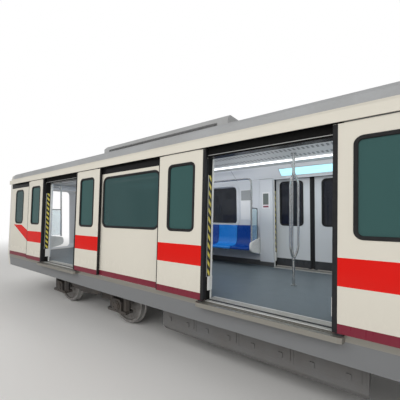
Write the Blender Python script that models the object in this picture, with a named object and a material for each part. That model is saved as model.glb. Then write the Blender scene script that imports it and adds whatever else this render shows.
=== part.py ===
"""An intermediate metro car with four outside-hung sliding doorways a side, a gangway at each end and
two bogies. Metres, +Z up, +X along the train, -Y is the near side, whose doors stand open. The floor
of the scene is at the wheels' flange tips."""

import math

import bmesh
import bpy
from mathutils import Matrix, Vector

# Clearances
SEAT_GAP = 0.0003
RUNNING_GAP = 0.006
LAP = 0.004
OVERRUN = 0.05
WELD_DISTANCE = 0.00003

# Wheels, axles and bogies
WHEEL_SIDES = 14
TREAD_RADIUS = 0.43
FLANGE_HEIGHT = 0.028
WHEELBASE = 2.2
BOGIE_SPACING = 12.6

# Body lengths, from the doorways outwards
DOORS_A_SIDE = 4
DOOR_SPACING = 4.45
DOORWAY_WIDTH = 1.40
END_BAY = 2.15
END_WALL = 0.10

# Body section, heights from the floor
FLOOR_OVER_RAIL = 1.10
FLOOR_DEPTH = 0.16
HALF_WIDTH = 1.52
WALL = 0.14
WALL_LEAN = math.radians(2.5)
SKIRT_DROP = 0.30
SKIRT_TUCK = 0.03
CANT_HEIGHT = 2.15
DOOR_HEADER_HEIGHT = 0.28
ROOF_RISE = 0.30
ROOF_SHELL = 0.07
ROOF_CROWN = 0.05
ROOF_POWER = 2.6
ROOF_STEPS = 14

# Windows
WINDOW_HEIGHT = 0.92
WINDOW_BELOW_DOOR_HEAD = 0.06
WINDOW_CORNER = 0.12
LEAF_CLEAR_OF_WINDOW = 0.03
END_WINDOW_FROM_JAMB = 1.25
END_WINDOW_WIDTH = 0.50
CORNER_STEPS = 2

# Door leaves, their track above and their sill below, distances out from the wall's face
LEAF_WIDTH = 0.80
LEAF_OVER_DOORWAY = 0.09
LEAF_THICK = 0.04
LEAF_STANDOFF = 0.02
LEAF_LIFT = 0.015
LEAF_MEETING = 0.006
LEAF_WINDOW_WIDTH = 0.456
LEAF_WINDOW_DROP = 0.146
LEAF_WINDOW_RISE = 0.874
LEAF_WINDOW_INSET = 0.164
LEAF_WINDOW_CORNER = 0.075
HANGER_WIDTH = 0.62
HANGER_THICK = 0.006
ROLLER_SPACING = 0.50
HANGER_SKIN = 0.001
ROLLER_RADIUS = 0.022
ROLLER_WIDTH = 0.025
ROLLER_SIDES = 6
TRACK_RISE = 0.035
TRACK_THICK = 0.016
COVER_THICK = 0.010
COVER_GAP = 0.012
SILL_HEIGHT = 0.06
SILL_STEP = 0.006
SILL_REACH = 0.115
SILL_OVERHANG = 0.10
SILL_CORNER = 0.05
GROOVE_DEPTH = 0.032
FIN_THICK = 0.012
FIN_WIDTH = 0.06
FIN_DROP = 0.022
FIN_INSET = 0.05

# Saloon
CEILING_BELOW_CANT = 0.05
CEILING_FLAT = 1.90
CEILING_THICK = 0.03
COVE_DROP = 0.20
SEAT_WIDTH = 0.47
BENCH_FROM_JAMB = 0.35
SEAT_HEIGHT = 0.45
SEAT_DEPTH = 0.50
SEAT_SHELL = 0.07
SEAT_BACK_TOP = 0.88
SEAT_BACK_THICK = 0.05
SEAT_BACK_FOOT = 0.10
BAY_SEATS = 5
END_SEATS = 3
SCREEN_THICK = 0.03
SCREEN_FOOT = 0.18
SCREEN_HEAD = 0.98
RAIL_BELOW_CEILING = 0.22
RAIL_RADIUS = 0.0175
RAIL_BEND = 0.10
POLE_RADIUS = 0.0185
POLE_FORK = 0.41
POLE_BOW_WIDTH = 0.07
POLE_START_SHARE = 0.05
POLE_SIDES = 6
POLE_WIDE_FROM = 0.62
POLE_WIDE_TO_DROP = 0.50
POLE_JOIN_DROP = 0.32
POLE_FOOT_RADIUS = 0.045
POLE_FOOT_HEIGHT = 0.02
POLE_KNUCKLE_RADIUS = 0.027
POLE_KNUCKLE_HEIGHT = 0.05

# Gangway
PASSAGE_WIDTH = 1.30
PASSAGE_BELOW_CANT = 0.20
PASSAGE_CORNER = 0.12
GANGWAY_LENGTH = 0.45
GANGWAY_MARGIN = 0.10
GANGWAY_CORNER = 0.16
PLEATS = 3
PLEAT_DEPTH = 0.08
PLEAT_WALL = 0.012
GANGWAY_FLANGE = 0.03
FOOTPLATE_THICK = 0.02
FOOTPLATE_INSET = 0.09

# Underframe, couplings and the cases hung below
BEARER_WIDTH = 0.09
BEARER_DEPTH = 0.10
BEARER_SPACING = 1.30
BEARERS = 7
BEARER_SPINE_WIDTH = 0.30
COUPLER_OVER_RAIL = 0.72
COUPLER_PIVOT_FROM_END = 0.42
POCKET_LENGTH = 0.60
POCKET_WIDTH = 0.56
POCKET_DEPTH = 0.36
POCKET_SLOT_HEIGHT = 0.15
POCKET_SLOT_WIDTH = 0.44
POCKET_PIN_RADIUS = 0.035
PIN_CLEARANCE = 0.003
BAR_RADIUS = 0.06
BAR_EYE_RADIUS = 0.09
BAR_EYE_HEIGHT = 0.13
BAR_MUFF_RADIUS = 0.13
BAR_MUFF_LENGTH = 0.05
PIVOT_PIN_RADIUS = 0.08
PIVOT_PIN_DROP = 0.42
PIVOT_PLATE_RADIUS = 0.16
PIVOT_PLATE_THICK = 0.025
JACK_PAD_X = 4.40
JACK_PAD_Y = 1.10
JACK_PAD_LENGTH = 0.24
JACK_PAD_WIDTH = 0.18
JACK_PAD_DROP = 0.03
NOTCH_WIDTH = 0.90
CASE_DEPTH = 0.52
CASE_CHAMFER = 0.08
CASE_WIDTH = 2.30
TANK_RADIUS = 0.20
TANK_STRAP = 0.08

# Roof units
COOLER_LENGTH = 3.0
COOLER_WIDTH = 1.64
COOLER_HEIGHT = 0.20
COOLER_CHAMFER = 0.08
COOLER_FROM_CENTRE = 4.45
FAN_RADIUS = 0.30
FAN_RISE = 0.03
FAN_SPACING = 1.0
FAN_SIDES = 12

# Bogie frame and running gear, from the bogie's centre
BEAM_Y = 1.0
BEAM_WIDTH = 0.16
BEAM_PAST_AXLE = 0.36
BEAM_DEPTH = 0.13
BEAM_DIP = 0.14
BEAM_NOSE = 0.065
BEAM_NECK_FROM_AXLE = 0.68
BEAM_NECK_TO_AXLE = 0.38
BEAM_OVER_AXLE = 0.22
BOX_HALF_LENGTH = 0.14
BOX_DEPTH = 0.13
BOX_WIDTH = 0.20
BOX_WING = 0.13
BOX_WING_THICK = 0.05
SPRING_RADIUS = 0.07
SPRING_SIDES = 6
BORE_SIDES = 10
TRANSOM_RADIUS = 0.085
TRANSOM_X = 0.25
TRANSOM_SIDES = 8
PIVOT_BLOCK_WIDTH = 0.44
MOTOR_RADIUS = 0.19
MOTOR_FROM_AXLE = 0.54
MOTOR_LENGTH = 0.50
MOTOR_MOUNT_FROM = 0.12
MOTOR_MOUNT_TO = 0.24
MOTOR_MOUNT_RISE = 0.16
MOTOR_SIDES = 8
GEAR_RADIUS = 0.19
GEAR_THICK = 0.16
GEAR_Y = 0.40
GEAR_ARM_HEIGHT = 0.19
BORE_HALF_SPAN = 0.60
BRAKE_WIDTH = 0.11
BRAKE_HEIGHT = 0.18
BRAKE_STANDOFF = 0.012
AIR_SPRING_RADIUS = 0.25
AIR_SPRING_WAIST = 0.19
AIR_SPRING_PLATE = 0.03
PIN_BORE_REACH = 0.10
AIR_SPRING_SIDES = 8

# Wheelset, across the axle
BACK_TO_BACK = 1.36
TYRE_WIDTH = 0.135
FLANGE_THICK = 0.03
RIM_DEPTH = 0.06
WEB_THICK = 0.03
HUB_RADIUS = 0.13
HUB_WIDTH = 0.16
AXLE_RADIUS = 0.085
JOURNAL_RADIUS = 0.065
JOURNAL_REACH = 1.07
JOURNAL_FROM = 0.88
BORE_CLEARANCE = 0.006

# Places that follow
FLANGE_RADIUS = TREAD_RADIUS + FLANGE_HEIGHT
AXLE_Z = FLANGE_RADIUS * math.cos(math.pi / WHEEL_SIDES)
RAIL_Z = AXLE_Z - TREAD_RADIUS
FLOOR = RAIL_Z + FLOOR_OVER_RAIL
UNDERSIDE = FLOOR - FLOOR_DEPTH
HALF_BODY = (DOOR_SPACING * (DOORS_A_SIDE - 1) + DOORWAY_WIDTH) / 2 + END_BAY
HALF_SHELL = HALF_BODY - END_WALL - SEAT_GAP
BAY = DOOR_SPACING - DOORWAY_WIDTH
DOORWAY_HEIGHT = CANT_HEIGHT - DOOR_HEADER_HEIGHT
LEAF_HEIGHT = DOORWAY_HEIGHT + LEAF_OVER_DOORWAY
LEAF_WINDOW_HEIGHT = LEAF_HEIGHT - LEAF_WINDOW_RISE - LEAF_WINDOW_DROP
CEILING_HEIGHT = CANT_HEIGHT - CEILING_BELOW_CANT
COVE_FOOT = CEILING_HEIGHT - COVE_DROP
PASSAGE_HEIGHT = CANT_HEIGHT - PASSAGE_BELOW_CANT
LEAF_TRAVEL = DOORWAY_WIDTH / 2
LEAF_TOP = LEAF_LIFT + LEAF_HEIGHT
LEAF_OUTER = LEAF_STANDOFF + LEAF_THICK
TRACK_TOP = LEAF_TOP + TRACK_RISE + TRACK_THICK
HANGER_OUTER = LEAF_OUTER - HANGER_SKIN
HANGER_INNER = HANGER_OUTER - HANGER_THICK
ROLLER_Z = TRACK_TOP + SEAT_GAP + ROLLER_RADIUS * math.cos(math.pi / ROLLER_SIDES)
HANGER_TOP = ROLLER_Z + ROLLER_RADIUS + HANGER_THICK
COUPLER_Z = RAIL_Z + COUPLER_OVER_RAIL
BEARER_FOOT = UNDERSIDE - BEARER_DEPTH
DOORWAYS = [DOOR_SPACING * (k - (DOORS_A_SIDE - 1) / 2) for k in range(DOORS_A_SIDE)]
NEAR, FAR = 1, -1
SIDES = (("near", NEAR), ("far", FAR))
ENDS = (("front", 1), ("rear", -1))


def shape_of(bm):
    """The finished mesh of one simple shape, facing out."""
    bmesh.ops.recalc_face_normals(bm, faces=bm.faces)
    mesh = bpy.data.meshes.new("shape")
    bm.to_mesh(mesh)
    bm.free()
    return mesh


def block(x, y, z):
    """A box between three pairs of bounds."""
    bounds = [sorted(pair) for pair in (x, y, z)]
    size = [high - low for low, high in bounds]
    middle = [(low + high) / 2 for low, high in bounds]
    bm = bmesh.new()
    place = Matrix.Translation(middle) @ Matrix.Diagonal((*size, 1))
    bmesh.ops.create_cube(bm, size=1, matrix=place)
    return shape_of(bm)


def on_axis(along, u, v, w):
    """The point at u, v in the plane across an axis, and w along it."""
    return {"X": (w, u, v), "Y": (u, w, v), "Z": (u, v, w)}[along]


def prism(outline, along, low, high):
    """An outline carried straight along an axis."""
    bm = bmesh.new()
    face = bm.faces.new([bm.verts.new(on_axis(along, u, v, low)) for u, v in outline])
    grown = bmesh.ops.extrude_face_region(bm, geom=[face])["geom"]
    corners = [item for item in grown if isinstance(item, bmesh.types.BMVert)]
    bmesh.ops.translate(bm, verts=corners, vec=on_axis(along, 0, 0, high - low))
    return shape_of(bm)


def drum(along, u, v, radius, low, high, sides):
    """A round bar along an axis, through u, v in the plane across it."""
    turn = {"X": ("Y", math.pi / 2), "Y": ("X", -math.pi / 2), "Z": ("Z", 0)}[along]
    place = Matrix.Translation(on_axis(along, u, v, (low + high) / 2))
    place @= Matrix.Rotation(turn[1], 4, turn[0]) @ Matrix.Rotation(math.pi / sides, 4, "Z")
    bm = bmesh.new()
    bmesh.ops.create_cone(
        bm,
        cap_ends=True,
        segments=sides,
        radius1=radius,
        radius2=radius,
        depth=high - low,
        matrix=place,
    )
    return shape_of(bm)


def turned(profile, sides):
    """A profile of radius and height, from the axis and back to it, turned about Z, a flat facing -Y."""
    bm = bmesh.new()
    points = [bm.verts.new((radius, 0, height)) for radius, height in profile]
    edges = [bm.edges.new(pair) for pair in zip(points, points[1:])]
    geometry = points + edges
    start = math.pi / sides - math.pi / 2
    bmesh.ops.rotate(bm, verts=points, matrix=Matrix.Rotation(start, 3, "Z"))
    bmesh.ops.spin(
        bm, geom=geometry, axis=(0, 0, 1), cent=(0, 0, 0), angle=math.tau, steps=sides, use_merge=True
    )
    bmesh.ops.remove_doubles(bm, verts=bm.verts, dist=WELD_DISTANCE)
    return shape_of(bm)


def curve_shape(curve):
    """The mesh that a curve makes, its seams welded."""
    holder = bpy.data.objects.new("curve", curve)
    mesh = bpy.data.meshes.new_from_object(holder)
    bpy.data.objects.remove(holder)
    bm = bmesh.new()
    bm.from_mesh(mesh)
    bmesh.ops.remove_doubles(bm, verts=bm.verts, dist=WELD_DISTANCE)
    return shape_of(bm)


def add_spline(curve, points, closed):
    spline = curve.splines.new("POLY")
    spline.points.add(len(points) - 1)
    for point, place in zip(spline.points, points):
        point.co = (*place, *[0] * (3 - len(place)), 1)
    spline.use_cyclic_u = closed


def tube(points, radius):
    """A round tube along straight runs between points."""
    curve = bpy.data.curves.new("tube", "CURVE")
    curve.dimensions = "3D"
    curve.bevel_depth = radius
    curve.bevel_resolution = 1
    curve.use_fill_caps = True
    add_spline(curve, points, closed=False)
    return curve_shape(curve)


def plate(outlines, along, low, high):
    """A flat plate: the first outline less the others."""
    curve = bpy.data.curves.new("plate", "CURVE")
    curve.dimensions = "2D"
    curve.fill_mode = "BOTH"
    curve.extrude = (high - low) / 2
    for outline in outlines:
        add_spline(curve, outline, closed=True)
    columns = [on_axis(along, *unit) for unit in ((1, 0, 0), (0, 1, 0), (0, 0, 1))]
    place = Matrix(columns).transposed().to_4x4()
    place.translation = on_axis(along, 0, 0, (low + high) / 2)
    return moved(curve_shape(curve), place)


def rounded(u, v, width, height, radius, steps=CORNER_STEPS):
    """A rectangle about u, v with round corners."""
    points = []
    for corner in range(4):
        start = corner * math.pi / 2
        across = (width / 2 - radius) * (1 if corner in (0, 3) else -1)
        up = (height / 2 - radius) * (1 if corner in (0, 1) else -1)
        for step in range(steps + 1):
            angle = start + step / steps * math.pi / 2
            points.append((u + across + radius * math.cos(angle), v + up + radius * math.sin(angle)))
    return points


def ring(stations, loop_at):
    """A closed band: the loops at each station, joined round and end to end."""
    bm = bmesh.new()
    rows = [[bm.verts.new(point) for point in loop_at(*station)] for station in stations]
    for row, after in zip(rows, rows[1:] + rows[:1]):
        for k in range(len(row)):
            bm.faces.new((row[k - 1], row[k], after[k], after[k - 1]))
    return shape_of(bm)


def moved(shape, matrix):
    """The shape carried to its place, still facing out."""
    bm = bmesh.new()
    bm.from_mesh(shape)
    bmesh.ops.transform(bm, matrix=matrix, verts=bm.verts)
    return shape_of(bm)


def shifted(shape, x=0, y=0, z=0):
    return moved(shape, Matrix.Translation((x, y, z)))


def material(name, colour, roughness, metallic=0.0):
    made = bpy.data.materials.new(name)
    made.use_nodes = True
    made.diffuse_color = (*colour, 1)
    shader = made.node_tree.nodes["Principled BSDF"]
    shader.inputs["Base Color"].default_value = (*colour, 1)
    shader.inputs["Roughness"].default_value = roughness
    shader.inputs["Metallic"].default_value = metallic
    return made


def helpers(name, shapes):
    """A collection of shapes that only join or cut, kept out of the render."""
    group = bpy.data.collections.new(name)
    construction.children.link(group)
    for shape in shapes:
        helper = bpy.data.objects.new(name, shape)
        helper.display_type = "WIRE"
        helper.hide_render = True
        group.objects.link(helper)
    return group


def node(name, finish, base, add=(), cut=(), late=(), origin=(0, 0, 0)):
    """One closed body: base joined with add, less cut, joined with late."""
    base.transform(Matrix.Translation(-Vector(origin)))
    base.name = name
    base.materials.append(finish)
    body = bpy.data.objects.new(name, base)
    body.location = origin
    car.objects.link(body)
    stages = (("joined", "UNION", add), ("cut", "DIFFERENCE", cut), ("fitted", "UNION", late))
    for stage, operation, shapes in stages:
        if shapes:
            modifier = body.modifiers.new(stage, "BOOLEAN")
            modifier.operation = operation
            modifier.solver = "EXACT"
            modifier.operand_type = "COLLECTION"
            modifier.collection = helpers(f"{name}_{stage}", shapes)
    return body


def side_frame(side):
    """From a side's own frame (x along, -y out from the wall's face, z up the wall) to the world."""
    lean = Matrix.Translation((0, -HALF_WIDTH, FLOOR)) @ Matrix.Rotation(-WALL_LEAN, 4, "X")
    return lean if side == NEAR else Matrix.Rotation(math.pi, 4, "Z") @ lean


def facing(shape, side):
    """A shape made for the near side, carried to either."""
    return shape if side == NEAR else moved(shape, Matrix.Rotation(math.pi, 4, "Z"))


def wall_inset(height):
    """How far the leaning wall stands in from its place at the floor."""
    return math.tan(WALL_LEAN) * height


def inner_face(height):
    """Distance of the wall's inner face from the centre line."""
    return HALF_WIDTH - WALL - wall_inset(height)


def roof_line(half_width, rise, height, steps=ROOF_STEPS):
    """The roof's curve from one cant rail to the other, as y and z."""
    points = []
    for step in range(steps + 1):
        angle = math.pi * step / steps
        across = abs(math.cos(angle)) ** (2 / ROOF_POWER) * (1 if step * 2 <= steps else -1)
        up = abs(math.sin(angle)) ** (2 / ROOF_POWER)
        points.append((half_width * across, height + rise * up))
    return points


def underframe():
    """The floor with the four pads that a workshop jack lifts it by."""
    half = HALF_WIDTH - WALL - SEAT_GAP
    floor = block((-HALF_SHELL, HALF_SHELL), (-half, half), (UNDERSIDE, FLOOR))
    add = []
    for _, end in ENDS:
        for _, side in SIDES:
            x, y = end * JACK_PAD_X, side * JACK_PAD_Y
            along = (x - JACK_PAD_LENGTH / 2, x + JACK_PAD_LENGTH / 2)
            across = (y - JACK_PAD_WIDTH / 2, y + JACK_PAD_WIDTH / 2)
            add.append(block(along, across, (UNDERSIDE - JACK_PAD_DROP, UNDERSIDE + LAP)))
    node("underframe", steel_grey, floor, add)


def bearer_frame():
    """The cross bearers under the floor that the cases hang from, and the spine that joins them."""
    half = BEARER_WIDTH / 2
    stations = [BEARER_SPACING * (k - (BEARERS - 1) / 2) for k in range(BEARERS)]
    reach = HALF_WIDTH - WALL - SEAT_GAP - SKIRT_TUCK
    height = (BEARER_FOOT, UNDERSIDE - SEAT_GAP)
    spine_y = (-BEARER_SPINE_WIDTH / 2, BEARER_SPINE_WIDTH / 2)
    spine = block((stations[0], stations[-1]), spine_y, height)
    bearers = [block((x - half, x + half), (-reach, reach), height) for x in stations]
    node("bearer_frame", steel_grey, spine, bearers)


def centre_pin(name, end):
    """The plate and pin under the floor that one bogie turns about."""
    x = end * BOGIE_SPACING / 2
    top = UNDERSIDE - SEAT_GAP
    plate_foot = top - PIVOT_PLATE_THICK
    flange = drum("Z", x, 0, PIVOT_PLATE_RADIUS, plate_foot, top, BORE_SIDES)
    pin = drum("Z", x, 0, PIVOT_PIN_RADIUS, UNDERSIDE - PIVOT_PIN_DROP, plate_foot + LAP, BORE_SIDES)
    node(f"centre_pin_{name}", steel_grey, flange, [pin])


def coupling_pocket(name, end):
    """The cast pocket under one end of the floor, and the pin that the coupling bar swings on."""
    mouth = end * HALF_SHELL
    back = mouth - end * POCKET_LENGTH
    body_y = (-POCKET_WIDTH / 2, POCKET_WIDTH / 2)
    pocket = block((back, mouth), body_y, (UNDERSIDE - POCKET_DEPTH, UNDERSIDE - SEAT_GAP))
    x = end * (HALF_BODY - COUPLER_PIVOT_FROM_END)
    slot_back = x - end * (BAR_EYE_RADIUS + RUNNING_GAP)
    low = COUPLER_Z - BAR_EYE_HEIGHT / 2 - SEAT_GAP
    high = low + POCKET_SLOT_HEIGHT
    slot_y = (-POCKET_SLOT_WIDTH / 2, POCKET_SLOT_WIDTH / 2)
    slot = block((slot_back, mouth + end * OVERRUN), slot_y, (low, high))
    pin = drum("Z", x, 0, POCKET_PIN_RADIUS, low - LAP, high + LAP, BORE_SIDES)
    node(f"coupling_pocket_{name}", cast_grey, pocket, (), [slot], [pin])


def wall_outline():
    """The near wall's section, as y and z: a skirt, then a face that leans in to the cant rail."""
    top = CANT_HEIGHT - SEAT_GAP
    face = -HALF_WIDTH
    tucked = face + SKIRT_TUCK
    inner = face + WALL
    return [
        (tucked, FLOOR - SKIRT_DROP),
        (face, FLOOR),
        (face + wall_inset(top), FLOOR + top),
        (inner + wall_inset(top), FLOOR + top),
        (inner, FLOOR),
        (inner, FLOOR - SKIRT_DROP),
    ]


def track():
    """The shelf that the doors' rollers run on and the cover over it, in the side's frame."""
    cover_inner = LEAF_OUTER + COVER_GAP
    cover_outer = cover_inner + COVER_THICK
    under = HANGER_TOP + COVER_GAP
    shelf = HANGER_INNER - RUNNING_GAP
    lip = LEAF_TOP + COVER_GAP
    outline = [
        (LAP, TRACK_TOP - TRACK_THICK),
        (-shelf, TRACK_TOP - TRACK_THICK),
        (-shelf, TRACK_TOP),
        (-LAP, TRACK_TOP),
        (-LAP, under),
        (-cover_inner, under),
        (-cover_inner, lip),
        (-cover_outer, lip),
        (-cover_outer, under + COVER_THICK),
        (LAP, under + COVER_THICK),
    ]
    return prism(outline, "X", -HALF_SHELL + LAP, HALF_SHELL - LAP)


def sill(x):
    """The doorway's outer sill, round at its outer corners, in the side's frame."""
    half = DOORWAY_WIDTH / 2 + SILL_OVERHANG
    points = [(x - half, LAP)]
    for sign, start in ((-1, math.pi), (1, math.pi / 2)):
        centre = x + sign * (half - SILL_CORNER)
        for step in range(CORNER_STEPS + 1):
            angle = start - step / CORNER_STEPS * math.pi / 2
            out = SILL_REACH - SILL_CORNER + SILL_CORNER * math.sin(angle)
            points.append((centre + SILL_CORNER * math.cos(angle), -out))
    points.append((x + half, LAP))
    return prism(points, "Z", -SILL_HEIGHT, -SILL_STEP)


def groove(x):
    """The slot in the sill that the leaves' fins run in."""
    middle = LEAF_STANDOFF + LEAF_THICK / 2
    half = FIN_THICK / 2 + RUNNING_GAP
    reach = DOORWAY_WIDTH / 2 + SILL_OVERHANG + OVERRUN
    return block((x - reach, x + reach), (-middle - half, -middle + half), (-GROOVE_DEPTH, OVERRUN))


def body_windows():
    """The windows of one side as centre and width: one in each bay, a narrow one in each end bay."""
    margin = LEAF_WIDTH + LEAF_MEETING / 2 + LEAF_CLEAR_OF_WINDOW
    found = [((a + b) / 2, BAY - 2 * margin) for a, b in zip(DOORWAYS, DOORWAYS[1:])]
    for _, end in ENDS:
        jamb = end * (DOORWAYS[-1] + DOORWAY_WIDTH / 2)
        centre = jamb + end * (END_WINDOW_FROM_JAMB + END_WINDOW_WIDTH / 2)
        found.append((centre, END_WINDOW_WIDTH))
    return found


def side_wall(name, side):
    """A whole side: the leaning wall with its doorways and windows cut, sills and door track."""
    wall = prism(wall_outline(), "X", -HALF_SHELL, HALF_SHELL)
    lean = side_frame(NEAR)
    through = (-HALF_WIDTH - OVERRUN, -inner_face(CANT_HEIGHT) + OVERRUN)
    add, cut = [moved(track(), lean)], []
    for x in DOORWAYS:
        add.append(moved(sill(x), lean))
        cut.append(moved(groove(x), lean))
        opening = (x - DOORWAY_WIDTH / 2, x + DOORWAY_WIDTH / 2)
        cut.append(block(opening, through, (FLOOR, FLOOR + DOORWAY_HEIGHT)))
    middle = FLOOR + DOORWAY_HEIGHT - WINDOW_BELOW_DOOR_HEAD - WINDOW_HEIGHT / 2
    for x, width in body_windows():
        cut.append(prism(rounded(x, middle, width, WINDOW_HEIGHT, WINDOW_CORNER), "Y", *through))
    pieces = [facing(shape, side) for shape in add]
    cutters = [facing(shape, side) for shape in cut]
    node(f"side_wall_{name}", cream_paint, facing(wall, side), pieces, cutters)


def door_leaf(name, side, x, hand):
    """One leaf with its window, the hanger and its two rollers above and the fin below.
    hand is the way that it opens along X; the near side stands open, the far side shut."""
    way = side * hand
    middle = side * x + way * (LEAF_MEETING + LEAF_WIDTH) / 2
    if side == NEAR:
        middle += way * LEAF_TRAVEL
    lead = middle - way * LEAF_WIDTH / 2
    window_x = lead + way * (LEAF_WINDOW_INSET + LEAF_WINDOW_WIDTH / 2)
    window_z = LEAF_LIFT + LEAF_WINDOW_RISE + LEAF_WINDOW_HEIGHT / 2
    edge = [
        (middle - LEAF_WIDTH / 2, LEAF_LIFT),
        (middle + LEAF_WIDTH / 2, LEAF_LIFT),
        (middle + LEAF_WIDTH / 2, LEAF_TOP),
        (middle - LEAF_WIDTH / 2, LEAF_TOP),
    ]
    window_size = (LEAF_WINDOW_WIDTH, LEAF_WINDOW_HEIGHT, LEAF_WINDOW_CORNER)
    window = rounded(window_x, window_z, *window_size)
    panel = plate([edge, window], "Y", -LEAF_OUTER, -LEAF_STANDOFF)
    fin_x = lead + way * FIN_INSET
    centre = LEAF_STANDOFF + LEAF_THICK / 2
    fin_y = (-centre - FIN_THICK / 2, -centre + FIN_THICK / 2)
    fin_z = (-FIN_DROP, LEAF_LIFT + LAP)
    add = [block((fin_x - FIN_WIDTH / 2, fin_x + FIN_WIDTH / 2), fin_y, fin_z)]
    width = (middle - HANGER_WIDTH / 2, middle + HANGER_WIDTH / 2)
    add.append(block(width, (-HANGER_OUTER, -HANGER_INNER), (LEAF_TOP - LEAF_THICK, HANGER_TOP)))
    reach = (-HANGER_INNER - HANGER_THICK / 2, -HANGER_INNER + ROLLER_WIDTH)
    for sign in (1, -1):
        roller_x = middle + sign * ROLLER_SPACING / 2
        add.append(drum("Y", roller_x, ROLLER_Z, ROLLER_RADIUS, *reach, ROLLER_SIDES))
    place = side_frame(side)
    origin = place @ Vector((middle, -centre, LEAF_LIFT))
    shapes = [moved(shape, place) for shape in add]
    node(name, cream_paint, moved(panel, place), shapes, origin=origin)


def door_leaves():
    for side_name, side in SIDES:
        for k, x in enumerate(DOORWAYS):
            for hand_name, hand in (("a", -1), ("b", 1)):
                door_leaf(f"door_{side_name}_{k + 1}{hand_name}", side, x, hand)


def roof():
    """The arched roof shell between the end walls, seated on the walls' tops."""
    half = HALF_WIDTH - wall_inset(CANT_HEIGHT)
    base = FLOOR + CANT_HEIGHT
    outer = roof_line(half, ROOF_RISE, base)
    inner = roof_line(half - ROOF_SHELL, ROOF_RISE - ROOF_CROWN, base)
    node("roof", roof_grey, prism(outer + inner[::-1], "X", -HALF_SHELL, HALF_SHELL))


def roof_cooler(name, end):
    """An air-conditioning case that sits on the roof's curve, with two fans on top."""
    half = HALF_WIDTH - wall_inset(CANT_HEIGHT)
    base = FLOOR + CANT_HEIGHT + SEAT_GAP
    arc = [point for point in roof_line(half, ROOF_RISE, base) if abs(point[0]) < COOLER_WIDTH / 2]
    crown = base + ROOF_RISE
    top = crown + COOLER_HEIGHT
    edge = COOLER_WIDTH / 2
    outline = [
        (edge, arc[0][1]),
        (edge, top - COOLER_CHAMFER),
        (edge - COOLER_CHAMFER, top),
        (-edge + COOLER_CHAMFER, top),
        (-edge, top - COOLER_CHAMFER),
        (-edge, arc[-1][1]),
    ]
    outline += arc[::-1]
    x = end * COOLER_FROM_CENTRE
    case = prism(outline, "X", x - COOLER_LENGTH / 2, x + COOLER_LENGTH / 2)
    fans = [
        drum("Z", x + sign * FAN_SPACING / 2, 0, FAN_RADIUS, top - LAP, top + FAN_RISE, FAN_SIDES)
        for sign in (1, -1)
    ]
    node(f"roof_cooler_{name}", roof_grey, case, fans)


def ceiling():
    """The saloon's ceiling: a flat middle and a sloping cover over the doors on each side."""
    flat = CEILING_FLAT / 2
    foot = inner_face(COVE_FOOT) - SEAT_GAP
    head = inner_face(COVE_FOOT + CEILING_THICK) - SEAT_GAP
    under = [(foot, COVE_FOOT), (flat, CEILING_HEIGHT), (-flat, CEILING_HEIGHT), (-foot, COVE_FOOT)]
    over = [
        (-head, COVE_FOOT + CEILING_THICK),
        (-flat, CEILING_HEIGHT + CEILING_THICK),
        (flat, CEILING_HEIGHT + CEILING_THICK),
        (head, COVE_FOOT + CEILING_THICK),
    ]
    outline = [(y, FLOOR + z) for y, z in under + over]
    node("ceiling", pale_panel, prism(outline, "X", -HALF_SHELL, HALF_SHELL))


def end_outline():
    """The body's whole section, which the end walls close."""
    half = HALF_WIDTH - wall_inset(CANT_HEIGHT)
    arch = roof_line(half, ROOF_RISE, FLOOR + CANT_HEIGHT)
    foot = FLOOR - SKIRT_DROP
    tucked = HALF_WIDTH - SKIRT_TUCK
    return [(tucked, foot), (HALF_WIDTH, FLOOR)] + arch + [(-HALF_WIDTH, FLOOR), (-tucked, foot)]


def end_wall(name, end):
    """A car end with its gangway doorway, a notch for the coupling and the footplate."""
    inner, outer = end * (HALF_BODY - END_WALL), end * HALF_BODY
    passage = rounded(0, FLOOR + PASSAGE_HEIGHT / 2, PASSAGE_WIDTH, PASSAGE_HEIGHT, PASSAGE_CORNER)
    wall = plate([end_outline(), passage], "X", *sorted((inner, outer)))
    notch = block(
        (inner - end * OVERRUN, outer + end * OVERRUN),
        (-NOTCH_WIDTH / 2, NOTCH_WIDTH / 2),
        (FLOOR - SKIRT_DROP - OVERRUN, UNDERSIDE),
    )
    half = PASSAGE_WIDTH / 2 - FOOTPLATE_INSET
    reach = (outer - end * LAP, outer + end * GANGWAY_LENGTH)
    step = block(reach, (-half, half), (FLOOR - FOOTPLATE_THICK - LAP, FLOOR - LAP))
    node(f"end_wall_{name}", cream_paint, wall, [step], [notch])


def gangway(name, end):
    """Half of the gangway: pleated bellows between a flange on the car and the coupling flange."""
    width = PASSAGE_WIDTH + 2 * GANGWAY_MARGIN
    height = PASSAGE_HEIGHT + 2 * GANGWAY_MARGIN
    middle = FLOOR + PASSAGE_HEIGHT / 2
    start = HALF_BODY + SEAT_GAP
    inside = start + GANGWAY_FLANGE
    outside = HALF_BODY + GANGWAY_LENGTH - GANGWAY_FLANGE
    fold = (outside - inside) / PLEATS
    crests = [(inside + fold * k / 2, PLEAT_DEPTH * (k % 2)) for k in range(2 * PLEATS + 1)]
    outer = [(start, PLEAT_DEPTH), (inside, PLEAT_DEPTH)]
    outer += [(x, grown + PLEAT_WALL) for x, grown in crests]
    outer += [(outside, PLEAT_DEPTH), (outside + GANGWAY_FLANGE, PLEAT_DEPTH)]
    inner = [(outside + GANGWAY_FLANGE, 0)] + crests[::-1] + [(start, 0)]

    def loop_at(x, grown):
        size = (width + 2 * grown, height + 2 * grown, GANGWAY_CORNER + grown)
        return [(end * x, y, z) for y, z in rounded(0, middle, *size)]

    node(f"gangway_{name}", bellows_grey, ring(outer + inner, loop_at))


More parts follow.
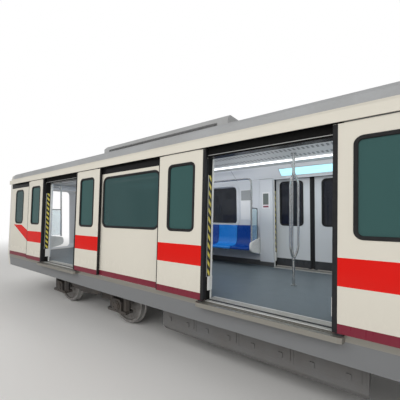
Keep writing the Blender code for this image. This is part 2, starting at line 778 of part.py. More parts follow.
def coupling_bar(name, end):
    """A coupling bar that swings on the pocket's pin: an eye, a round shank and a flanged muff."""
    x = end * (HALF_BODY - COUPLER_PIVOT_FROM_END)
    face = end * (HALF_BODY + GANGWAY_LENGTH)
    low, high = COUPLER_Z - BAR_EYE_HEIGHT / 2, COUPLER_Z + BAR_EYE_HEIGHT / 2
    eye = drum("Z", x, 0, BAR_EYE_RADIUS, low, high, BORE_SIDES)
    shank_start = x + end * (BAR_EYE_RADIUS - BAR_RADIUS / 2)
    shank = drum("X", 0, COUPLER_Z, BAR_RADIUS, *sorted((shank_start, face)), TRANSOM_SIDES)
    muff_x = sorted((face - end * BAR_MUFF_LENGTH, face))
    muff = drum("X", 0, COUPLER_Z, BAR_MUFF_RADIUS, *muff_x, FAN_SIDES)
    bore_radius = POCKET_PIN_RADIUS + PIN_CLEARANCE
    bore = drum("Z", x, 0, bore_radius, low - OVERRUN, high + OVERRUN, BORE_SIDES)
    node(f"coupling_bar_{name}", cast_grey, eye, [shank, muff], [bore], origin=(x, 0, COUPLER_Z))


def equipment_cases():
    """Two cases, each hung from its first to its last bearer, and an air tank on the last two."""
    top = BEARER_FOOT - SEAT_GAP
    foot = top - CASE_DEPTH
    half = CASE_WIDTH / 2
    outline = [
        (half, top),
        (half, foot + CASE_CHAMFER),
        (half - CASE_CHAMFER, foot),
        (-half + CASE_CHAMFER, foot),
        (-half, foot + CASE_CHAMFER),
        (-half, top),
    ]
    bearers = [BEARER_SPACING * (k - (BEARERS - 1) / 2) for k in range(BEARERS)]
    # name, first bearer, last bearer
    hung_from = (("traction_case", 0, 2), ("auxiliary_case", 3, 4))
    for name, start, stop in hung_from:
        low, high = bearers[start] - BEARER_WIDTH / 2, bearers[stop] + BEARER_WIDTH / 2
        node(name, case_grey, prism(outline, "X", low, high))
    x = (bearers[-2] + bearers[-1]) / 2
    tank_z = top - TANK_STRAP - TANK_RADIUS
    reach = BEARER_SPACING / 2 + TANK_STRAP
    tank = drum("X", 0, tank_z, TANK_RADIUS, x - reach, x + reach, FAN_SIDES)
    straps = []
    for centre in (x - BEARER_SPACING / 2, x + BEARER_SPACING / 2):
        along = (centre - BEARER_WIDTH / 2, centre + BEARER_WIDTH / 2)
        straps.append(block(along, (-TANK_STRAP, TANK_STRAP), (tank_z, top)))
    node("air_tank", case_grey, tank, straps)


def bench(name, side, x, seats):
    """A row of seats on the wall between two end panels, with the rail over its front edge."""
    half = seats * SEAT_WIDTH / 2
    seat_foot = SEAT_HEIGHT - SEAT_SHELL
    back = -inner_face(0)

    def at(inset, height):
        return (back + inset, FLOOR + height)

    def wall_at(height):
        return wall_inset(height) + SEAT_GAP

    outline = [
        at(wall_at(seat_foot), seat_foot),
        at(wall_at(SEAT_BACK_TOP), SEAT_BACK_TOP),
        at(wall_at(SEAT_BACK_TOP) + SEAT_BACK_THICK, SEAT_BACK_TOP),
        at(wall_at(SEAT_HEIGHT) + SEAT_BACK_FOOT, SEAT_HEIGHT),
        at(SEAT_DEPTH - SEAT_SHELL / 2, SEAT_HEIGHT),
        at(SEAT_DEPTH, SEAT_HEIGHT - SEAT_SHELL / 2),
        at(SEAT_DEPTH - SEAT_SHELL / 2, seat_foot),
    ]
    row = prism(outline, "X", x - half, x + half)
    panel = [
        at(wall_at(SCREEN_FOOT), SCREEN_FOOT),
        at(wall_at(SCREEN_HEAD), SCREEN_HEAD),
        at(SEAT_DEPTH, SCREEN_HEAD),
        at(SEAT_DEPTH + SCREEN_THICK, SCREEN_HEAD - SCREEN_THICK),
        at(SEAT_DEPTH + SCREEN_THICK, SCREEN_FOOT),
    ]
    add = []
    for sign in (1, -1):
        inner = x + sign * (half - LAP)
        outer = x + sign * (half + SCREEN_THICK)
        add.append(prism(panel, "X", *sorted((inner, outer))))
    rail_y = back + SEAT_DEPTH + SCREEN_THICK
    post = half + SCREEN_THICK / 2
    foot, head = FLOOR + SEAT_GAP, FLOOR + CEILING_HEIGHT - RAIL_BELOW_CEILING
    path = [
        (x - post, rail_y, foot),
        (x - post, rail_y, head - RAIL_BEND),
        (x - post + RAIL_BEND, rail_y, head),
        (x + post - RAIL_BEND, rail_y, head),
        (x + post, rail_y, head - RAIL_BEND),
        (x + post, rail_y, foot),
    ]
    add.append(tube(path, RAIL_RADIUS))
    node(name, seat_blue, facing(row, side), [facing(shape, side) for shape in add])


def benches():
    """Five seats in each bay between doorways, three in each end bay, numbered from the rear."""
    jamb = DOORWAYS[-1] + DOORWAY_WIDTH / 2
    end_x = jamb + BENCH_FROM_JAMB + END_SEATS * SEAT_WIDTH / 2
    rows = [(-end_x, END_SEATS)]
    rows += [((a + b) / 2, BAY_SEATS) for a, b in zip(DOORWAYS, DOORWAYS[1:])]
    rows += [(end_x, END_SEATS)]
    for side_name, side in SIDES:
        for k, (x, seats) in enumerate(rows):
            bench(f"bench_{side_name}_{k + 1}", side, side * x, seats)


def triple_pole(name, x):
    """A floor-to-ceiling pole that parts into three bowed branches."""
    foot, head = FLOOR + SEAT_GAP, FLOOR + CEILING_HEIGHT - SEAT_GAP
    base = drum("Z", x, 0, POLE_FOOT_RADIUS, foot, foot + POLE_FOOT_HEIGHT, POLE_SIDES)
    top = FLOOR + CEILING_HEIGHT
    fork, join = FLOOR + POLE_FORK, top - POLE_JOIN_DROP
    add = [
        drum("Z", x, 0, POLE_FOOT_RADIUS, head - POLE_FOOT_HEIGHT, head, POLE_SIDES),
        drum("Z", x, 0, POLE_RADIUS, foot + LAP, fork, POLE_SIDES),
        drum("Z", x, 0, POLE_RADIUS, join, head - LAP, POLE_SIDES),
    ]
    for middle in (fork, join):
        low, high = middle - POLE_KNUCKLE_HEIGHT / 2, middle + POLE_KNUCKLE_HEIGHT / 2
        add.append(drum("Z", x, 0, POLE_KNUCKLE_RADIUS, low, high, POLE_SIDES))
    for branch in range(3):
        angle = math.tau * branch / 3
        over, across = POLE_BOW_WIDTH * math.cos(angle), POLE_BOW_WIDTH * math.sin(angle)
        start = POLE_START_SHARE
        path = [
            (x + over * start, across * start, fork),
            (x + over, across, FLOOR + POLE_WIDE_FROM),
            (x + over, across, top - POLE_WIDE_TO_DROP),
            (x + over * start, across * start, join),
        ]
        add.append(tube(path, POLE_RADIUS))
    node(name, bright_steel, base, add)


def beam_outline(x):
    """A bogie's side beam, seen from the side: high over the axleboxes, dipped in the middle."""
    high = AXLE_Z + BEAM_OVER_AXLE + BEAM_DEPTH
    low = high - BEAM_DIP
    tip = WHEELBASE / 2 + BEAM_PAST_AXLE
    neck_from = WHEELBASE / 2 - BEAM_NECK_FROM_AXLE
    neck_to = WHEELBASE / 2 - BEAM_NECK_TO_AXLE
    points = [
        (-tip, high),
        (-neck_to, high),
        (-neck_from, low),
        (neck_from, low),
        (neck_to, high),
        (tip, high),
        (tip, high - BEAM_NOSE),
        (tip - BEAM_NOSE, high - BEAM_DEPTH),
        (neck_to, high - BEAM_DEPTH),
        (neck_from, low - BEAM_DEPTH),
        (-neck_from, low - BEAM_DEPTH),
        (-neck_to, high - BEAM_DEPTH),
        (-tip + BEAM_NOSE, high - BEAM_DEPTH),
        (-tip, high - BEAM_NOSE),
    ]
    return [(x + along, z) for along, z in points]


def axlebox(x, side):
    """An axlebox with a wing each way, on which the two primary springs stand."""
    across = (side * (BEAM_Y - BOX_WIDTH / 2), side * (BEAM_Y + BOX_WIDTH / 2))
    low, high = AXLE_Z - BOX_DEPTH, AXLE_Z + BOX_DEPTH
    wing = BOX_HALF_LENGTH + BOX_WING
    outline = [
        (-wing, low),
        (wing, low),
        (wing, low + BOX_WING_THICK),
        (BOX_HALF_LENGTH, low + BOX_WING_THICK),
        (BOX_HALF_LENGTH, high - BOX_WING_THICK),
        (BOX_HALF_LENGTH - BOX_WING_THICK, high),
        (-BOX_HALF_LENGTH + BOX_WING_THICK, high),
        (-BOX_HALF_LENGTH, high - BOX_WING_THICK),
        (-BOX_HALF_LENGTH, low + BOX_WING_THICK),
        (-wing, low + BOX_WING_THICK),
    ]
    box = prism([(x + along, z) for along, z in outline], "Y", *sorted(across))
    spring_x = BOX_HALF_LENGTH + BOX_WING / 2
    top = AXLE_Z + BEAM_OVER_AXLE + LAP
    springs = [
        drum("Z", x + sign * spring_x, side * BEAM_Y, SPRING_RADIUS, low + LAP, top, SPRING_SIDES)
        for sign in (1, -1)
    ]
    return [box] + springs


def air_spring(x, side):
    """The air spring between the beam's dip and the floor."""
    foot = AXLE_Z + BEAM_OVER_AXLE + BEAM_DEPTH - BEAM_DIP - LAP
    head = UNDERSIDE - SEAT_GAP
    middle = (foot + head) / 2
    profile = [
        (0, head),
        (AIR_SPRING_RADIUS, head),
        (AIR_SPRING_RADIUS, head - AIR_SPRING_PLATE),
        (AIR_SPRING_WAIST, head - AIR_SPRING_PLATE),
        (AIR_SPRING_RADIUS, middle + AIR_SPRING_PLATE),
        (AIR_SPRING_RADIUS, middle - AIR_SPRING_PLATE),
        (AIR_SPRING_WAIST, foot + AIR_SPRING_PLATE),
        (AIR_SPRING_WAIST, foot),
        (0, foot),
    ]
    return shifted(turned(profile, AIR_SPRING_SIDES), x, side * BEAM_Y)


def drive(x, way, side):
    """A motor on the transom and the gear case that it drives the axle through."""
    motor_x = x + way * (WHEELBASE / 2 - MOTOR_FROM_AXLE)
    axle_x = x + way * WHEELBASE / 2
    near = side * (GEAR_Y - GEAR_THICK / 2)
    motor_y = sorted((near + side * LAP, near - side * MOTOR_LENGTH))
    motor = drum("Y", motor_x, AXLE_Z, MOTOR_RADIUS, *motor_y, MOTOR_SIDES)
    gear_y = sorted((near, near + side * GEAR_THICK))
    gear = drum("Y", axle_x, AXLE_Z, GEAR_RADIUS, *gear_y, MOTOR_SIDES)
    arm_z = (AXLE_Z - GEAR_ARM_HEIGHT / 2, AXLE_Z + GEAR_ARM_HEIGHT / 2)
    case = block((motor_x, axle_x), gear_y, arm_z)
    mount_y = sorted((near - side * MOTOR_MOUNT_FROM, near - side * MOTOR_MOUNT_TO))
    mount = block((x + way * TRANSOM_X, motor_x), mount_y, (AXLE_Z, AXLE_Z + MOTOR_MOUNT_RISE))
    return [motor, gear, case, mount]


def brake_unit(x, way, side):
    """A tread brake unit between the transom and the wheel."""
    start = x + way * TRANSOM_X
    stop = x + way * (WHEELBASE / 2 - FLANGE_RADIUS - BRAKE_STANDOFF)
    middle = side * (BACK_TO_BACK / 2 + TYRE_WIDTH / 2)
    across = sorted((middle - BRAKE_WIDTH / 2, middle + BRAKE_WIDTH / 2))
    return block((start, stop), across, (AXLE_Z - BRAKE_HEIGHT / 2, AXLE_Z + BRAKE_HEIGHT / 2))


def bogie(name, end):
    """The bogie: two dipped beams on axleboxes, joined by two transoms about the pivot block."""
    x = end * BOGIE_SPACING / 2
    transom_z = AXLE_Z + BEAM_OVER_AXLE - BEAM_DIP + BEAM_DEPTH / 2
    half = PIVOT_BLOCK_WIDTH / 2
    pivot = block(
        (x - TRANSOM_X, x + TRANSOM_X),
        (-half, half),
        (transom_z - TRANSOM_RADIUS / 2, transom_z + TRANSOM_RADIUS / 2),
    )
    add, cut = [], []
    for way in (1, -1):
        beam_x = x + way * TRANSOM_X
        add.append(drum("Y", beam_x, transom_z, TRANSOM_RADIUS, -BEAM_Y, BEAM_Y, TRANSOM_SIDES))
        add += drive(x, way, way)
        axle_x = x + way * WHEELBASE / 2
        axle_bore = AXLE_RADIUS + BORE_CLEARANCE
        cut.append(drum("Y", axle_x, AXLE_Z, axle_bore, -BORE_HALF_SPAN, BORE_HALF_SPAN, BORE_SIDES))
        for side in (1, -1):
            add += axlebox(axle_x, side)
            add.append(brake_unit(x, way, side))
            inner = side * (BEAM_Y - BOX_WIDTH / 2 - OVERRUN)
            outer = side * (JOURNAL_REACH + SEAT_GAP)
            bore_radius = JOURNAL_RADIUS + BORE_CLEARANCE
            cut.append(drum("Y", axle_x, AXLE_Z, bore_radius, *sorted((inner, outer)), BORE_SIDES))
    for side in (1, -1):
        across = sorted((side * (BEAM_Y - BEAM_WIDTH / 2), side * (BEAM_Y + BEAM_WIDTH / 2)))
        add.append(prism(beam_outline(x), "Y", *across))
        add.append(air_spring(x, side))
    pin_bore = PIVOT_PIN_RADIUS + BORE_CLEARANCE
    bore_z = (transom_z - PIN_BORE_REACH, transom_z + PIN_BORE_REACH)
    cut.append(drum("Z", x, 0, pin_bore, *bore_z, BORE_SIDES))
    node(f"bogie_{name}", bogie_grey, pivot, add, cut, origin=(x, 0, UNDERSIDE))


def wheel_profile():
    """One wheel and its half of the axle, as radius and distance from the car's centre line."""
    back = BACK_TO_BACK / 2
    front = back + TYRE_WIDTH
    middle = back + TYRE_WIDTH / 2
    rim = TREAD_RADIUS - RIM_DEPTH
    hub_back, hub_front = middle - HUB_WIDTH / 2, middle + HUB_WIDTH / 2
    return [
        (0, JOURNAL_REACH),
        (JOURNAL_RADIUS, JOURNAL_REACH),
        (JOURNAL_RADIUS, JOURNAL_FROM),
        (HUB_RADIUS, hub_front),
        (rim, middle + WEB_THICK / 2),
        (rim, front),
        (TREAD_RADIUS, front),
        (TREAD_RADIUS, back + FLANGE_THICK),
        (FLANGE_RADIUS, back),
        (rim, back),
        (rim, middle - WEB_THICK / 2),
        (HUB_RADIUS, hub_back),
        (AXLE_RADIUS, hub_back),
    ]


def wheelset(name, x):
    """Two flanged wheels on their axle, turned in one piece about Y."""
    half = wheel_profile()
    profile = half + [(radius, -across) for radius, across in reversed(half)]
    turn = Matrix.Translation((x, 0, AXLE_Z)) @ Matrix.Rotation(math.pi / 2, 4, "X")
    node(name, wheel_steel, moved(turned(profile, WHEEL_SIDES), turn), origin=(x, 0, AXLE_Z))


def running_gear():
    for name, end in ENDS:
        bogie(name, end)
        for place, way in (("outer", end), ("inner", -end)):
            x = end * BOGIE_SPACING / 2 + way * WHEELBASE / 2
            wheelset(f"wheelset_{name}_{place}", x)


def body():
    underframe()
    bearer_frame()
    roof()
    ceiling()
    for name, side in SIDES:
        side_wall(name, side)
    for name, end in ENDS:
        end_wall(name, end)
        gangway(name, end)
        centre_pin(name, end)
        coupling_pocket(name, end)
        coupling_bar(name, end)
        roof_cooler(name, end)


def saloon():
    benches()
    for k, x in enumerate(DOORWAYS):
        triple_pole(f"triple_pole_{k + 1}", x)


for old in list(bpy.data.objects):
    bpy.data.objects.remove(old)

car = bpy.data.collections.new("metro_car")
construction = bpy.data.collections.new("construction")
construction.hide_render = True
bpy.context.scene.collection.children.link(car)
bpy.context.scene.collection.children.link(construction)

cream_paint = material("cream_paint", (0.83, 0.80, 0.71), 0.35)
roof_grey = material("roof_grey", (0.50, 0.51, 0.52), 0.5)
steel_grey = material("steel_grey", (0.20, 0.21, 0.22), 0.6)
case_grey = material("case_grey", (0.27, 0.28, 0.29), 0.5)
cast_grey = material("cast_grey", (0.16, 0.16, 0.17), 0.6, 0.4)
bogie_grey = material("bogie_grey", (0.14, 0.15, 0.16), 0.6, 0.2)
wheel_steel = material("wheel_steel", (0.42, 0.41, 0.40), 0.35, 0.9)
bellows_grey = material("bellows_grey", (0.05, 0.05, 0.06), 0.7)
pale_panel = material("pale_panel", (0.72, 0.73, 0.74), 0.45)
seat_blue = material("seat_blue", (0.04, 0.25, 0.60), 0.3)
bright_steel = material("bright_steel", (0.65, 0.66, 0.67), 0.22, 1.0)

body()
saloon()
equipment_cases()
door_leaves()
running_gear()
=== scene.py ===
import math

import bmesh
import bpy
import numpy as np
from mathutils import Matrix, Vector


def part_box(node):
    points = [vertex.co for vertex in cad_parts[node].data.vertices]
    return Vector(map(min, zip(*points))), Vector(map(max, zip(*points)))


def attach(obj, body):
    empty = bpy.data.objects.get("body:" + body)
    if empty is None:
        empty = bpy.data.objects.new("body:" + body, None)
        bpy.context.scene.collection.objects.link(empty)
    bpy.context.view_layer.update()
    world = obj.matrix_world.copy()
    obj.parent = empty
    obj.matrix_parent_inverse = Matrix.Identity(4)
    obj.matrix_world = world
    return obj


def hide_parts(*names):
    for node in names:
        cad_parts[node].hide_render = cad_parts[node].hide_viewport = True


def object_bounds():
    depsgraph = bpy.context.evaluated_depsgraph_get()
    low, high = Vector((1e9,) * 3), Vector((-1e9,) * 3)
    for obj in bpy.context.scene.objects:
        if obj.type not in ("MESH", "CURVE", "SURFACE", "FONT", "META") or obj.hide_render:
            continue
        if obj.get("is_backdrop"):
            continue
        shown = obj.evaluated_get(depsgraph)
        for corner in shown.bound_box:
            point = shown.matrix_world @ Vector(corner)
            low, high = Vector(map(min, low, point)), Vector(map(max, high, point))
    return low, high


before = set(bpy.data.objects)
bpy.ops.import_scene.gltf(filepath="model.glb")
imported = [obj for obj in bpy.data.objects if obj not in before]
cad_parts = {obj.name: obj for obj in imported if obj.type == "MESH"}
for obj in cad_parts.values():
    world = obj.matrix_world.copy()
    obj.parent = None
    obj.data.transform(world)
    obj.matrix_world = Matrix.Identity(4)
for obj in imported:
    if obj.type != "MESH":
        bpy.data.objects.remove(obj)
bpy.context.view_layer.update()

# The floor frame and the cases under it
# Welded steel, painted dark grey and covered in brake dust. Its top carries the saloon's grey-blue
# vinyl. The cases have bolted doors and cooling fins, and pipes run from case to case under the bearers.
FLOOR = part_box("underframe")[1].z
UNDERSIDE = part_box("air_tank")[1].z
DARK_STEEL = (0.045, 0.048, 0.052)
DUST = (0.105, 0.085, 0.068)
VINYL = (0.088, 0.110, 0.124)
VINYL_FLECK = (0.150, 0.175, 0.190)
CASE_DOOR_FOOT = 0.12
CASE_DOOR_HEAD = 0.04
CASE_DOOR_FRAME = (0.025, 0.006)
CASE_DOOR_TRAY = (0.060, 0.016)
LATCH_HALF = 0.022
LATCH_UP = (0.075, 0.135)
LATCH_OUT = (0.014, 0.028)
FINS = 24
FIN_HALF = 0.004
FIN_DEPTH = 0.028
FIN_REACH = 0.8
FIN_FROM_END = 0.25
PIPES_ACROSS = (-1.22, -1.18, 1.20)
PIPES_PAST = (3, 0.2)
PIPE_DROP = 0.02
PIPE_RADIUS = 0.013


class Wire:
    """One socket of a material. Sums, products and comparisons on it add Math nodes."""

    def __init__(self, tree, socket=None):
        self.tree, self.socket = tree, socket

    def add(self, kind, sockets, output=0, **settings):
        """The output of a new node, its settings made first, then its sockets set or linked."""
        made = self.tree.nodes.new("ShaderNode" + kind)
        for name, value in settings.items():
            setattr(made, name, value)
        for key, value in sockets.items():
            if isinstance(value, Wire):
                self.tree.links.new(value.socket, made.inputs[key])
            else:
                made.inputs[key].default_value = value
        return Wire(self.tree, made.outputs[output])

    def maths(self, operation, *others):
        return self.add("Math", dict(enumerate((self, *others))), operation=operation)

    def __add__(self, other):
        return self.maths("ADD", other)

    def __sub__(self, other):
        return self.maths("SUBTRACT", other)

    def __rsub__(self, other):
        return self.maths("MULTIPLY_ADD", -1, other)

    def __mul__(self, other):
        return self.maths("MULTIPLY", other)

    def __mod__(self, other):
        return self.maths("FLOORED_MODULO", other)

    def __abs__(self):
        return self.maths("ABSOLUTE")

    def __gt__(self, other):
        return self.maths("GREATER_THAN", other)

    def __lt__(self, other):
        return self.maths("LESS_THAN", other)

    __radd__ = __add__
    __rmul__ = __mul__

    def mix(self, low, high):
        """A colour between two, by this factor."""
        ends = [c if isinstance(c, Wire) else (*c, 1) for c in (low, high)]
        return self.add("Mix", {0: self, 6: ends[0], 7: ends[1]}, 2, data_type="RGBA")

    def noise(self, scale, detail=3, stretch=None):
        """Noise over the piece, its scale in turns per metre, stretched along the axes."""
        place = self
        if stretch:
            place = self.add("VectorMath", {0: self, 1: stretch}, operation="MULTIPLY")
        return self.add("TexNoise", {"Vector": place, "Scale": scale, "Detail": detail})

    def bump(self, distance, strength=1):
        return self.add("Bump", {"Height": self, "Distance": distance, "Strength": strength})


def material(name, build, **uniform):
    """A material whose build takes the place on the piece and x, y, z, and returns what varies."""
    made = bpy.data.materials.new(name)
    made.use_nodes = True
    tree = made.node_tree
    shader = tree.nodes["Principled BSDF"]
    for key, value in uniform.items():
        socket = shader.inputs[key.replace("_", " ")]
        socket.default_value = (*value, 1) if isinstance(value, tuple) else value
    place = Wire(tree).add("TexCoord", {}, "Object")
    apart = place.add("SeparateXYZ", {0: place})
    axes = [Wire(tree, apart.socket.node.outputs[k]) for k in range(3)]
    for key, wire in build(place, *axes).items():
        tree.links.new(wire.socket, shader.inputs[key.replace("_", " ")])
    return made


def dress(node, finish):
    """The CAD node keeps its shape and takes this material."""
    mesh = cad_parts[node].data
    mesh.materials.clear()
    mesh.materials.append(finish)


def loft(rings, round_trip=False):
    """A closed skin: every ring joined to the next, with flat ends, or joined end to end."""
    rings = np.asarray(rings, float)
    index = np.arange(rings.shape[0] * rings.shape[1]).reshape(rings.shape[:2])
    beside, after = np.roll(index, -1, 1), np.roll(index, -1, 0)
    corner = np.roll(beside, -1, 0)
    rows = len(index) if round_trip else len(index) - 1
    faces = np.stack([index[:rows], beside[:rows], corner[:rows], after[:rows]], -1)
    faces = faces.reshape(-1, 4).tolist()
    if not round_trip:
        faces += [index[0][::-1].tolist(), index[-1].tolist()]
    return rings.reshape(-1, 3), faces


def piece(name, skins, finish, body="carbody", crease=40, replaces=()):
    """One object of several skins, facing out, that rides on a body."""
    points, faces, start = [], [], 0
    for skin_points, skin_faces in skins:
        points.append(skin_points)
        faces += [[corner + start for corner in face] for face in skin_faces]
        start += len(skin_points)
    mesh = bpy.data.meshes.new(name)
    mesh.from_pydata(np.concatenate(points).tolist(), [], faces)
    bm = bmesh.new()
    bm.from_mesh(mesh)
    bmesh.ops.recalc_face_normals(bm, faces=bm.faces)
    bm.to_mesh(mesh)
    bm.free()
    mesh.shade_smooth()
    mesh.set_sharp_from_angle(angle=math.radians(crease))
    mesh.materials.append(finish)
    made = bpy.data.objects.new(name, mesh)
    bpy.context.scene.collection.objects.link(made)
    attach(made, body)
    if replaces:
        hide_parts(*replaces)
    return made


def along_car(section, stations):
    """A section, given as places across and up, carried straight along the car through its stations."""
    across, up = np.array(section, float).T
    along = np.array(stations, float)[:, None]
    return loft(np.stack(np.broadcast_arrays(along, across, up), -1))


def slab(x, y, z, bevel=0):
    """A box between bounds whose four long edges are cut by a bevel: one ring carried along the car."""
    ring = [
        (y[0] + bevel, z[0]), (y[0], z[0] + bevel), (y[0], z[1] - bevel), (y[0] + bevel, z[1]),
        (y[1] - bevel, z[1]), (y[1], z[1] - bevel), (y[1], z[0] + bevel), (y[1] - bevel, z[0]),
    ]
    return along_car(ring if bevel else ring[::2], x)


def tube(path, radius, sides=12, round_trip=False):
    """A round bar: a circle square to the path at each point, turned as little as it can be."""
    path = np.asarray(path, float)
    ahead = np.gradient(path, axis=0)
    if round_trip:
        ahead = np.roll(path, -1, 0) - np.roll(path, 1, 0)
    ahead /= np.linalg.norm(ahead, axis=1, keepdims=True)
    spread = np.abs(ahead).max(0)
    side = np.cross(ahead, np.eye(3)[spread.argmin()])
    side /= np.linalg.norm(side, axis=1, keepdims=True)
    up = np.cross(ahead, side)
    turn = np.linspace(0, math.tau, sides, endpoint=False)
    radii = np.broadcast_to(radius, len(path))[:, None, None]
    circle = np.cos(turn)[None, :, None] * side[:, None] + np.sin(turn)[None, :, None] * up[:, None]
    return loft(path[:, None] + radii * circle, round_trip)


def underfloor_look(place, x, y, z):
    dust = place.noise(3, 6) * 0.8 + place.noise(40, 2) * 0.35
    top = z > FLOOR - 0.002
    speck = place.noise(260, 1) > 0.60
    vinyl = speck.mix(VINYL, VINYL_FLECK)
    steel = (dust - 0.25).mix(DARK_STEEL, DUST)
    rough = top * -0.42 + 0.78 + place.noise(6) * 0.08
    return {
        "Base Color": top.mix(steel, vinyl),
        "Roughness": rough,
        "Normal": (place.noise(55, 4) * (1 - top)).bump(0.002, 0.6),
    }


floor_and_frame = material("vinyl_and_dusty_steel", underfloor_look)
dress("underframe", floor_and_frame)
dress("bearer_frame", floor_and_frame)


def mottled(name, colours, patches, rough, grain=None, start=0, **uniform):
    """A material that runs from one colour to another by noises, each a scale, a detail and a factor.

    Rough is a noise's scale, its factor and the least roughness. Grain is the scale and detail of a
    noise, and its bump's depth and strength.
    """

    def look(place, x, y, z):
        share = sum((place.noise(scale, detail) * factor for scale, detail, factor in patches), start)
        scale, factor, least = rough
        varying = {"Base Color": share.mix(*colours), "Roughness": place.noise(scale) * factor + least}
        if grain:
            varying["Normal"] = place.noise(*grain[:2]).bump(*grain[2:])
        return varying

    return material(name, look, **uniform)


case_paint = mottled(
    "dusty_case_paint", ((0.160, 0.165, 0.170), (0.115, 0.098, 0.082)),
    ((2.2, 6, 0.9), (28, 3, 0.25)), (9, 0.2, 0.5), (120, 2, 0.0006), start=-0.2,
)
for node in ("traction_case", "auxiliary_case", "air_tank"):
    dress(node, case_paint)


def case_doors(node, leaves):
    """Doors along both long sides of a case: each a raised tray on a thin frame, with two latches."""
    low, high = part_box(node)
    width = (high.x - low.x) / leaves
    foot, head = low.z + CASE_DOOR_FOOT, high.z - CASE_DOOR_HEAD
    latch = (foot + LATCH_UP[0], foot + LATCH_UP[1])
    skins = []
    for side, face in ((-1, low.y), (1, high.y)):
        for k in range(leaves):
            middle = low.x + width * (k + 0.5)
            for margin, proud in (CASE_DOOR_FRAME, CASE_DOOR_TRAY):
                y = sorted((face - side * 0.002, face + side * proud))
                x = (middle - width / 2 + margin, middle + width / 2 - margin)
                skins.append(slab(x, y, (foot + margin, head - margin), 0.002))
            for share in (-0.25, 0.25):
                x = middle + share * width
                y = sorted(face + side * out for out in LATCH_OUT)
                skins.append(slab((x - LATCH_HALF, x + LATCH_HALF), y, latch, 0.003))
    return skins


doors = case_doors("traction_case", 4) + case_doors("auxiliary_case", 2)
low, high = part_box("traction_case")
for x in np.linspace(low.x + FIN_FROM_END, high.x - FIN_FROM_END, FINS):
    across, up = (-FIN_REACH, FIN_REACH), (low.z - FIN_DEPTH, low.z + 0.002)
    doors.append(slab((x - FIN_HALF, x + FIN_HALF), across, up, 0.002))
piece("case_doors", doors, case_paint)

run = (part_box("auxiliary_case")[0].x - PIPES_PAST[0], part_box("air_tank")[1].x + PIPES_PAST[1])
pipes = []
for y in PIPES_ACROSS:
    path = [(x, y, UNDERSIDE - PIPE_DROP) for x in run]
    pipes.append(tube(np.linspace(*path, 12), PIPE_RADIUS, 10))
piece("air_pipes", pipes, case_paint)

# The bogies and their wheelsets
# Welded frames in dark paint, brown with brake dust. The wheelsets are turned steel: a bright tread and
# flange, a dark web and a clean axle. Each axlebox has a bolted cover.
BOGIES = ("front", "rear")
TREAD = 0.43
AXLEBOX_FACE = 1.10
COVER_STEPS = ((0.095, 0.012), (0.060, 0.020))
BOLTS = 6
BOLT_CIRCLE = 0.078
BOLT_RADIUS = 0.009
BOLT_OUT = 0.022
RUBBER_FROM = 0.76


def bogie_look(place, x, y, z):
    dust = place.noise(5, 6) + place.noise(60, 2) * 0.3
    rubber = (z > RUBBER_FROM) * (z < FLOOR)
    steel = (dust - 0.35).mix((0.05, 0.052, 0.055), (0.12, 0.088, 0.062))
    return {
        "Base Color": rubber.mix(steel, (0.018, 0.018, 0.019)),
        "Roughness": place.noise(12) * 0.25 + 0.52,
        "Normal": place.noise(90, 4).bump(0.0015, 0.7),
    }


bogie_paint = material("dusty_bogie_paint", bogie_look)
for end in BOGIES:
    dress(f"bogie_{end}", bogie_paint)
    dress(f"centre_pin_{end}", bogie_paint)


def wheel_look(place, x, y, z):
    radius = place.add("Attribute", {}, 2, attribute_name="radius")
    worn = (radius > TREAD - 0.012) * (radius < TREAD + 0.012)
    grime = place.noise(14, 5) * (1 - worn)
    return {
        "Base Color": grime.mix((0.46, 0.45, 0.44), (0.075, 0.058, 0.045)),
        "Metallic": worn * 0.7 + 0.25,
        "Roughness": 0.62 - worn * 0.36 + place.noise(30) * 0.1,
        "Normal": (place.noise(80, 3) * (1 - worn)).bump(0.001, 0.6),
    }


wheel_finish = material("rolled_wheel_steel", wheel_look)
HALF_PROFILE = (
    (0.001, 1.066), (0.060, 1.066), (0.065, 1.060), (0.065, 0.885), (0.092, 0.850), (0.128, 0.829),
    (0.138, 0.815), (0.150, 0.785), (0.230, 0.764), (0.330, 0.766), (0.362, 0.778), (0.368, 0.800),
    (0.374, 0.814), (0.424, 0.815), (0.427, 0.812), (0.431, 0.745), (0.433, 0.718), (0.446, 0.708),
    (0.456, 0.700), (0.458, 0.694), (0.455, 0.686), (0.447, 0.681), (0.372, 0.680), (0.366, 0.684),
    (0.360, 0.712), (0.330, 0.733), (0.230, 0.734), (0.150, 0.722), (0.134, 0.690), (0.128, 0.669),
    (0.092, 0.664), (0.085, 0.655), (0.085, 0.300),
)


def wheelset(node):
    """A turned solid: the profile's radius swung about the axle, its breadth across the car."""
    low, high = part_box(node)
    centre = Vector(((low.x + high.x) / 2, 0, (low.z + high.z) / 2))
    half = np.array(HALF_PROFILE)
    profile = np.concatenate([half, half[::-1] * (1, -1)])
    turn = np.linspace(0, math.tau, 64, endpoint=False)
    reach = (high.z - low.z) / 2 / half[:, 0].max()
    radius = profile[:, :1] * min(reach, 1)
    x = centre.x + radius * np.cos(turn)
    z = centre.z + radius * np.sin(turn)
    y = np.broadcast_to(profile[:, 1:], x.shape)
    made = piece(
        node + "_turned", [loft(np.stack([x, y, z], -1))], wheel_finish, node, 30, (node,)
    )
    distance = np.repeat(profile[:, 0], len(turn)).astype(np.float32)
    made.data.attributes.new("radius", "FLOAT", "POINT").data.foreach_set("value", distance)


